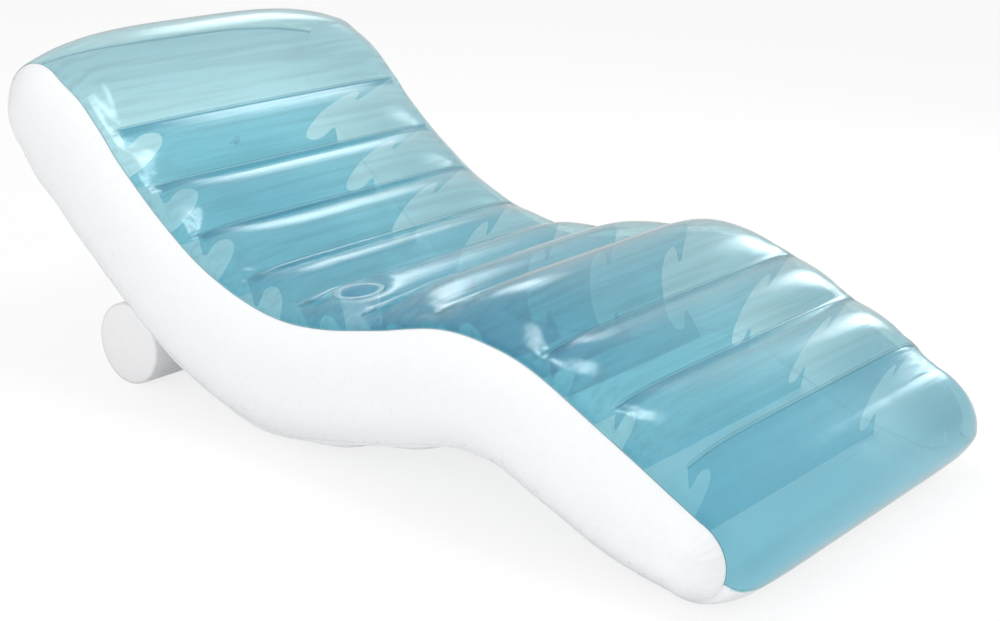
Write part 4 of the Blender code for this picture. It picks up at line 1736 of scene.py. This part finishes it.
@dataclass
class Bolster:
    """The cylinder that props the back, with its end discs and weld strip.

    Attributes:
        finishes: The lounge's finishes.
        centre: Its middle.
        radius: The wrap's radius.
        length: Its length between the seams.
        puff: How far the end discs bulge.
        puff_power: How flat the bulge is in its middle.
        rim_drop: How far inside the wrap the discs' rims lie.
        inset: How far the wrap stays inside its radius.
        pull, pull_reach: How much further its ends are pulled in, and how far that reaches.
        gather_depth: How deep the wrap's gathers are.
        gather_waves: Each of their waves' count, share and start.
        gather_start, gather_reach: Where they begin and how far they reach.
        edge_steps: The wrap's places near an end.
        even_reach, even_count: How far the even places between reach, and how many there are.
        hem: The turned-in rim of a disc: out from the rim and in from the seam.
        hem_share: How much of the sheet's thickness the disc loses in radius on its inside.
        strip: The strip's length, width and thickness.
        steps: How many steps make a round.
        disc_steps: How many rings a disc has.
    """

    finishes: Finishes
    centre: Vector = field(default_factory=lambda: Vector((0.0, 0.59189, 0.08957)))
    radius: float = 0.09
    length: float = 0.84
    puff: float = 0.006
    puff_power: float = 2.6
    rim_drop: float = 0.0022
    inset: float = 0.0004
    pull: float = 0.0016
    pull_reach: float = 0.01
    gather_depth: float = 0.0012
    gather_waves: tuple[tuple[float, float, float], ...] = ((19.0, 0.6, 0.0), (31.0, 0.4, 1.3))
    gather_start: float = 0.002
    gather_reach: float = 0.018
    edge_steps: tuple[float, ...] = (0.0, 0.002, 0.006, 0.012, 0.022, 0.04, 0.07)
    even_reach: float = 0.32
    even_count: int = 17
    hem: tuple[tuple[float, float], ...] = ((0.0003, 0.0015), (0.0003, 0.004))
    hem_share: float = 0.6
    strip: Spot = (0.7, 0.024, 0.0008)
    steps: int = 120
    disc_steps: int = 16

    def frame(self, side: float) -> Matrix:
        """Gives the frame of an end, with Z out of the right (-1) or left (1) one."""
        return Matrix.Translation(self.centre) @ Matrix.Rotation(math.radians(90.0) * side, 4, "Y")

    def build(self) -> list[Piece]:
        """Builds the bolster's pieces.

        Returns:
            The four pieces, ready to hand over.
        """
        pieces = [Piece(self.wrap(), ("bolster_wrap",), Slot.WHITE, fill=1.0)]
        for side, name in ((-1.0, "bolster_right_end"), (1.0, "bolster_left_end")):
            pieces.append(Piece(self.end(side, name), (name,), Slot.WHITE))
        pieces.append(Piece(self.weld_strip(), ("bolster_weld_strip",), Slot.WHITE))
        return pieces

    def wrap(self) -> Thing:
        """Builds the wrap, gathered a little where it meets the end discs.

        Returns:
            The wrap.
        """
        half = self.length / 2.0
        near = np.array(self.edge_steps)
        even = np.linspace(-self.even_reach, self.even_reach, self.even_count)
        places = np.concatenate([near - half, even, half - near[::-1]])
        angles = np.linspace(0.0, 2.0 * math.pi, self.steps, endpoint=False)
        inward = half - np.abs(places)
        pulled = self.pull * np.exp(-inward / self.pull_reach)
        gather = 1.0 - np.exp(-inward / self.gather_start)
        gather *= np.exp(-inward / self.gather_reach)
        wave = sum(
            share * np.sin(count * angles + start) for count, share, start in self.gather_waves
        )
        relief = self.gather_depth * wave[:, None] * gather[None]
        reach = self.radius - self.inset - pulled[None] + relief
        across = self.centre.x + np.broadcast_to(places[None], reach.shape)
        along = self.centre.y + reach * np.cos(angles)[:, None]
        up = np.maximum(self.centre.z + reach * np.sin(angles)[:, None], 0.0)
        points = np.stack([across, along, up], axis=-1)
        mesh = grid_mesh("bolster_wrap_sheet", points, {}, closed=True)
        outward(mesh, lambda spot: Vector((spot.x, self.centre.y, self.centre.z)))
        thing = object_from("bolster_wrap_sheet", mesh, self.finishes.white_bolster)
        return thickened(thing)

    def end(self, side: float, name: str) -> Thing:
        """Builds one domed end disc with its turned-in rim.

        Args:
            side: -1 for the right end and 1 for the left.
            name: The disc's node.

        Returns:
            The disc.
        """
        half = self.length / 2.0
        rim = self.radius - SHEET - GAP - self.rim_drop
        spots = [(0.0, half + self.puff)]
        for share in np.linspace(0.1, 1.0, self.disc_steps):
            spots.append((rim * share, half + self.puff * (1.0 - share**self.puff_power)))
        spots += [(rim + out, half - back) for out, back in self.hem]
        section = spots + [
            (radius - self.hem_share * SHEET if radius else 0.0, height - SHEET)
            for radius, height in reversed(spots)
        ]
        material = self.finishes.white_bolster
        return turned(name + "_sheet", section, self.steps, self.frame(side), material)

    def weld_strip(self) -> Thing:
        """Builds the strip that joins the bolster to the back.

        Returns:
            The strip.
        """
        low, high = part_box("bolster_weld_strip")
        middle = (low + high) / 2.0
        away = Vector((0.0, middle.y - self.centre.y, middle.z - self.centre.z)).normalized()
        matrix = frame_along(middle, away, Vector((1.0, 0.0, 0.0)))
        mesh = bevelled_box("bolster_strip", matrix @ Matrix.Diagonal((*self.strip, 1.0)))
        return object_from("bolster_strip", mesh, self.finishes.white_bolster)


@dataclass
class AirValve:
    """One air valve: welded flange, sliding stem, strapped plug and inner flap.

    Attributes:
        finishes: The lounge's finishes.
        prefix: The start of its nodes' names.
        middle: The middle of its seat on the sheet.
        out: The way out of the chamber.
        across: The way from the stem to the plug's hinge.
        bodies: The bodies of the stem, plug and flap.
        flange_radius, flange_thickness: The welded ring's size.
        stem_radius, bore, stem_length: The tube's outer and inner radius and its length.
        stem_rim, rim_thickness: The size of its rim.
        cap_radius, cap_thickness: The size of the plug's cap.
        plug_length, plug_radius, plug_tip: The stopper's length and its radius at both ends.
        strap_reach, strap_width: How far out the strap's hinge lies, and how wide the strap is.
        barrel, lug_end: How far the plug's strap and the stem's lug reach past the hinge.
        flap_radius, flap_thickness: The flap's size.
        stem_rounding, flap_rounding: How round their edges are.
        beads, bead_radius: How many weld beads the flange has and how big they are.
        bead_inset: How far inside its edge they lie.
        steps: How many steps make a round.
    """

    finishes: Finishes
    prefix: str
    middle: Vector
    out: Vector
    across: Vector
    bodies: tuple[str, str, str]
    flange_radius: float = 0.016
    flange_thickness: float = 0.0008
    stem_radius: float = 0.008
    bore: float = 0.0046
    stem_length: float = 0.014
    stem_rim: float = 0.01
    rim_thickness: float = 0.0012
    cap_radius: float = 0.0075
    cap_thickness: float = 0.0012
    plug_length: float = 0.006
    plug_radius: float = 0.0042
    plug_tip: float = 0.003
    strap_reach: float = 0.014
    strap_width: float = 0.004
    barrel: float = 0.0009
    lug_end: float = 0.001
    flap_thickness: float = 0.0005
    flap_radius: float = 0.006
    stem_rounding: float = 0.00035
    flap_rounding: float = 0.00015
    beads: int = 36
    bead_radius: float = 0.0004
    bead_inset: float = 0.0022
    steps: int = 48

    def frame(self) -> Matrix:
        """Gives the valve's frame with Z out of the chamber."""
        return frame_along(self.middle, self.out.normalized(), self.across)

    def build(self) -> list[Piece]:
        """Builds the valve's pieces.

        Returns:
            The four pieces, ready to hand over.
        """
        stem, plug, flap = self.bodies
        pieces = (
            ("flange", self.flange(), LOUNGE), ("stem", self.stem(), stem),
            ("plug", self.plug(), plug), ("flap", self.flap(), flap),
        )
        return [
            Piece(thing, (f"{self.prefix}_{label}",), Slot.VALVE, body)
            for label, thing, body in pieces
        ]

    def round_part(self, label: str, section: Section) -> Thing:
        """Turns a section round the valve's axis."""
        name = f"{self.prefix}_{label}"
        return turned(name, section, self.steps, self.frame(), self.finishes.valve)

    def flange(self) -> Thing:
        """Builds the welded ring with a ring of small beads pressed in by the welding tool.

        Returns:
            The ring.
        """
        top = GAP + self.flange_thickness
        section = rounded(slab(self.stem_radius + GAP, self.flange_radius, GAP, top))
        ring = self.round_part("ring", section)
        place = self.frame() @ Matrix.Translation((0.0, 0.0, top))
        radius = self.flange_radius - self.bead_inset
        return add_beads(ring, place, radius, self.beads, self.bead_radius)

    def stem(self) -> Thing:
        """Builds the soft tube with its rim and the lug that carries the strap.

        Returns:
            The tube.
        """
        seat = 2.0 * GAP + self.flange_thickness
        rim, end = seat + self.rim_thickness, -self.stem_length
        corners = (
            (self.bore, end), (self.stem_radius, end), (self.stem_radius, seat),
            (self.stem_rim, seat), (self.stem_rim, rim), (self.bore, rim),
        )
        tube = self.round_part("tube", rounded(corners, self.stem_rounding))
        lug = ((self.bore + self.stem_rim) / 2.0, self.strap_reach + self.lug_end)
        return self.with_bar(tube, lug, (seat, rim))

    def with_bar(self, thing: Thing, along: tuple[float, float], up: tuple[float, float]) -> Thing:
        """Joins a rounded bar to a turned piece.

        Args:
            thing: The turned piece.
            along: The bar's start and end along the frame's X.
            up: Its lower and upper face.

        Returns:
            The piece with its bar, as one closed mesh.
        """
        middle = Vector(((along[0] + along[1]) / 2.0, 0.0, (up[0] + up[1]) / 2.0))
        size = (along[1] - along[0], self.strap_width, up[1] - up[0])
        matrix = self.frame() @ Matrix.Translation(middle) @ Matrix.Diagonal((*size, 1.0))
        name = thing.name + "_bar"
        bar = object_from(name, bevelled_box(name, matrix), self.finishes.valve)
        modifier = thing.modifiers.new("bar", "BOOLEAN")
        modifier.operation = "UNION"
        modifier.object = bar
        plain(thing)
        bpy.data.objects.remove(bar)
        return smoothed(thing)

    def plug(self) -> Thing:
        """Builds the stopper with its strap.

        Returns:
            The plug.
        """
        low = 3.0 * GAP + self.flange_thickness + self.rim_thickness
        high, tip = low + self.cap_thickness, low - self.plug_length
        corners = (
            (0.0, tip), (self.plug_tip, tip), (self.plug_radius, low),
            (self.cap_radius, low), (self.cap_radius, high), (0.0, high),
        )
        cap = self.round_part("stopper", rounded(corners))
        strap = (self.cap_radius / 2.0, self.strap_reach + self.barrel)
        return self.with_bar(cap, strap, (low, high))

    def flap(self) -> Thing:
        """Builds the inner flap.

        Returns:
            The flap.
        """
        under = -self.stem_length - GAP
        corners = slab(0.0, self.flap_radius, under - self.flap_thickness, under)
        return self.round_part("disc", rounded(corners, self.flap_rounding))


# The studio


@dataclass
class Studio:
    """Camera, lamps, floor and background.

    Attributes:
        eye: Where the camera stands.
        azimuth, elevation, roll: How it is turned, in degrees.
        lens: Its focal length in millimetres.
        floor_level, floor_size: Where the floor lies and how wide it is.
        world_light: The surroundings' strength as a light.
        horizon, zenith: Their strength in reflections, low and from zenith_height on.
        floor_shade: How much of the floor's own shading shows.
        through_shade: The background's strength behind clear sheets.
        floor_gloss: The floor's strength in reflections.
        lamp_core: A lamp's strength in its middle, against an even one.
        lamps: Each lamp's name, place, target, width, power and whether gloss shows it.
    """

    eye: Vector = field(default_factory=lambda: Vector((-2.792, -2.226, 1.4155)))
    azimuth: float = -52.43
    elevation: float = 18.65
    roll: float = 2.54
    lens: float = 64.8
    floor_level: float = 0.0
    floor_size: float = 60.0
    world_light: float = 0.825
    floor_shade: float = 0.22
    through_shade: float = 0.62
    lamp_core: float = 3.0
    floor_gloss: float = 0.7
    horizon: float = 0.6
    zenith: float = 1.05
    zenith_height: float = 0.8
    lamps: tuple[tuple[str, Spot, Spot, float, float, bool], ...] = (
        ("key", (0.0, -0.3, 3.2), (0.0, -0.1, 0.25), 1.7, 20.0, False),
        ("gleam", (0.0, -0.3, 3.1), (0.0, -0.1, 0.25), 1.3, 7.5, True),
        ("fill", (1.7, -2.3, 2.7), (0.0, 0.2, 0.3), 1.1, 16.0, False),
        ("side", (-3.6, -0.6, 1.7), (0.0, 0.0, 0.25), 2.4, 29.0, False),
        ("back", (2.6, 2.4, 2.6), (0.0, 0.2, 0.3), 2.2, 12.0, True),
        ("sheen", (3.2, -0.4, 1.5), (0.3, -0.8, 0.2), 1.8, 14.0, True),
    )

    def build(self) -> None:
        """Builds the studio."""
        scene = bpy.context.scene
        scene.view_settings.view_transform = "Standard"
        scene.cycles.transparent_max_bounces = 64
        scene.cycles.max_bounces = 24
        scene.cycles.diffuse_bounces = 12
        self.camera()
        self.world()
        self.floor()
        for lamp in self.lamps:
            self.lamp(*lamp)

    def camera(self) -> None:
        """Places the camera at the photograph's angle."""
        angles = (self.azimuth, self.elevation, self.roll)
        azimuth, elevation, roll = (math.radians(value) for value in angles)
        level = math.cos(elevation)
        ahead = Vector(
            (-math.sin(azimuth) * level, math.cos(azimuth) * level, -math.sin(elevation))
        )
        right = ahead.cross(Vector((0.0, 0.0, 1.0))).normalized()
        up = right.cross(ahead)
        turned_right = right * math.cos(roll) + up * math.sin(roll)
        turned_up = up * math.cos(roll) - right * math.sin(roll)
        matrix = Matrix((turned_right, turned_up, -ahead)).transposed().to_4x4()
        matrix.translation = self.eye
        data = bpy.data.cameras.new("camera")
        data.lens = self.lens
        data.sensor_width = 36.0
        data.clip_start, data.clip_end = 0.05, 200.0
        camera = bpy.data.objects.new("camera", data)
        bpy.context.scene.collection.objects.link(camera)
        camera.matrix_world = matrix
        bpy.context.scene.camera = camera

    def world(self) -> None:
        """Makes the white surroundings, softer as a light than as a background."""
        world = bpy.data.worlds.new("studio")
        bpy.context.scene.world = world
        world.use_nodes = True
        world.node_tree.nodes.clear()
        sheet = NodeSheet(world.node_tree)
        path = sheet.add("LightPath")
        camera, transmission = path.outputs["Is Camera Ray"], path.outputs["Is Transmission Ray"]
        seen = sheet.math("MAXIMUM", camera, transmission)
        clear = self.behind_sheets(sheet, path)
        up = sheet.add("SeparateXYZ", {0: sheet.add("TexCoord").outputs["Generated"]}).outputs["Z"]
        mirrored = sheet.ramp(up, 0.0, self.zenith_height, self.horizon, self.zenith)
        even = sheet.math("MULTIPLY_ADD", seen, -self.world_light, self.world_light)
        change = sheet.math("SUBTRACT", mirrored, even)
        strength = sheet.math("MULTIPLY_ADD", path.outputs["Is Glossy Ray"], change, even)
        strength = sheet.math("MULTIPLY_ADD", seen, clear, strength)
        back = sheet.add("Background", {"Color": WHITE, "Strength": strength})
        sheet.add("OutputWorld", {"Surface": back.outputs[0]})

    def behind_sheets(self, sheet: NodeSheet, path: Node) -> Socket:
        """Dims what is seen through clear sheets.

        Args:
            sheet: The node sheet.
            path: Its Light Path node.

        Returns:
            The strength that is left, 1 where no sheet is in the way.
        """
        through = sheet.math("MINIMUM", path.outputs["Transparent Depth"], 1.0)
        return sheet.math("MULTIPLY_ADD", through, self.through_shade - 1.0, 1.0)

    def floor(self) -> None:
        """Lays the plain pale floor, which keeps a soft shadow."""
        half, level = self.floor_size / 2.0, self.floor_level
        mesh = bpy.data.meshes.new("floor")
        corners = [(x * half, y * half, level) for x, y in ((-1, -1), (1, -1), (1, 1), (-1, 1))]
        mesh.from_pydata(corners, [], [(0, 1, 2, 3)])
        material, sheet = new_material("pale_floor")
        path = sheet.add("LightPath")
        spot = sheet.add("TexCoord").outputs["Object"]
        patchy = sheet.add("TexNoise", {"Vector": spot, "Scale": 0.6, "Detail": 1.0})
        pales = (four((0.9, 0.9, 0.9)), four((0.88, 0.88, 0.885)))
        colour = sheet.blend(patchy.outputs["Fac"], *pales)
        matte = sheet.add(
            "BsdfPrincipled", {"Base Color": colour, "Roughness": 0.8, "Specular IOR Level": 0.1}
        )
        glossy = path.outputs["Is Glossy Ray"]
        seen = sheet.math("MAXIMUM", path.outputs["Is Camera Ray"], glossy)
        clear = self.behind_sheets(sheet, path)
        gloss = sheet.math("MULTIPLY_ADD", glossy, self.floor_gloss - 1.0, 1.0)
        strength = sheet.math("MULTIPLY", clear, gloss)
        glow = sheet.add("Emission", {"Color": WHITE, "Strength": strength})
        share = sheet.math("MULTIPLY", seen, 1.0 - self.floor_shade)
        mixed = sheet.add("MixShader", {0: share, 1: matte.outputs[0], 2: glow.outputs[0]})
        sheet.add("OutputMaterial", {"Surface": mixed.outputs[0]})
        object_from("floor", mesh, material, smooth=False)

    def lamp(
        self, name: str, place: Spot, target: Spot, size: float, power: float, mirrored: bool
    ) -> None:
        """Adds a round soft lamp that fades towards its edge.

        Args:
            name: The lamp's name.
            place: Where it hangs.
            target: Where it points.
            size: How wide it is.
            power: Its power in watts.
            mirrored: Whether gloss shows it.
        """
        data = bpy.data.lights.new(name, "AREA")
        data.shape = "DISK"
        data.size = size
        data.energy = power
        data.use_nodes = True
        data.node_tree.nodes.clear()
        sheet = NodeSheet(data.node_tree)
        spot = sheet.add("NewGeometry").outputs["Parametric"]
        middle = sheet.add("VectorMath", {0: spot, 1: (0.5, 0.5, 0.0)}, operation="DISTANCE")
        strength = sheet.ramp(middle.outputs["Value"], 0.0, 0.5, self.lamp_core, 0.0)
        glow = sheet.add("Emission", {"Color": WHITE, "Strength": strength})
        sheet.add("OutputLight", {"Surface": glow.outputs[0]})
        lamp = bpy.data.objects.new(name, data)
        bpy.context.scene.collection.objects.link(lamp)
        lamp.location = place
        lamp.visible_glossy = mirrored
        lamp.rotation_mode = "QUATERNION"
        lamp.rotation_quaternion = (Vector(target) - Vector(place)).to_track_quat("-Z", "Y")


def main() -> None:
    """Builds the studio and every piece of the lounge in order."""
    logging.basicConfig(level=logging.INFO, format="%(name)s: %(message)s")
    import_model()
    bpy.context.view_layer.update()
    Studio().build()
    finishes = Finishes()
    main_valve = AirValve(
        finishes,
        "main_valve",
        middle=Vector((0.13825, 0.84843, 0.3937)),
        out=Vector((0.00265, 0.50782, -0.86146)),
        across=Vector((1.0, 0.0, 0.0)),
        bodies=("main_stem", "main_plug", "main_flap"),
    )
    bolster_valve = AirValve(
        finishes,
        "bolster_valve",
        middle=Vector((0.426, 0.59189, 0.08957)),
        out=Vector((1.0, 0.0, 0.0)),
        across=Vector((0.0, 0.0, -1.0)),
        bodies=("bolster_stem", "bolster_plug", "bolster_flap"),
    )
    chamber, pocket, bolster = AirChamber(finishes), CupPocket(finishes), Bolster(finishes)
    for part in (chamber, pocket, bolster, main_valve, bolster_valve):
        for piece in part.build():
            piece.hand_over()
    bpy.context.view_layer.update()


if __name__ == "__main__":
    main()
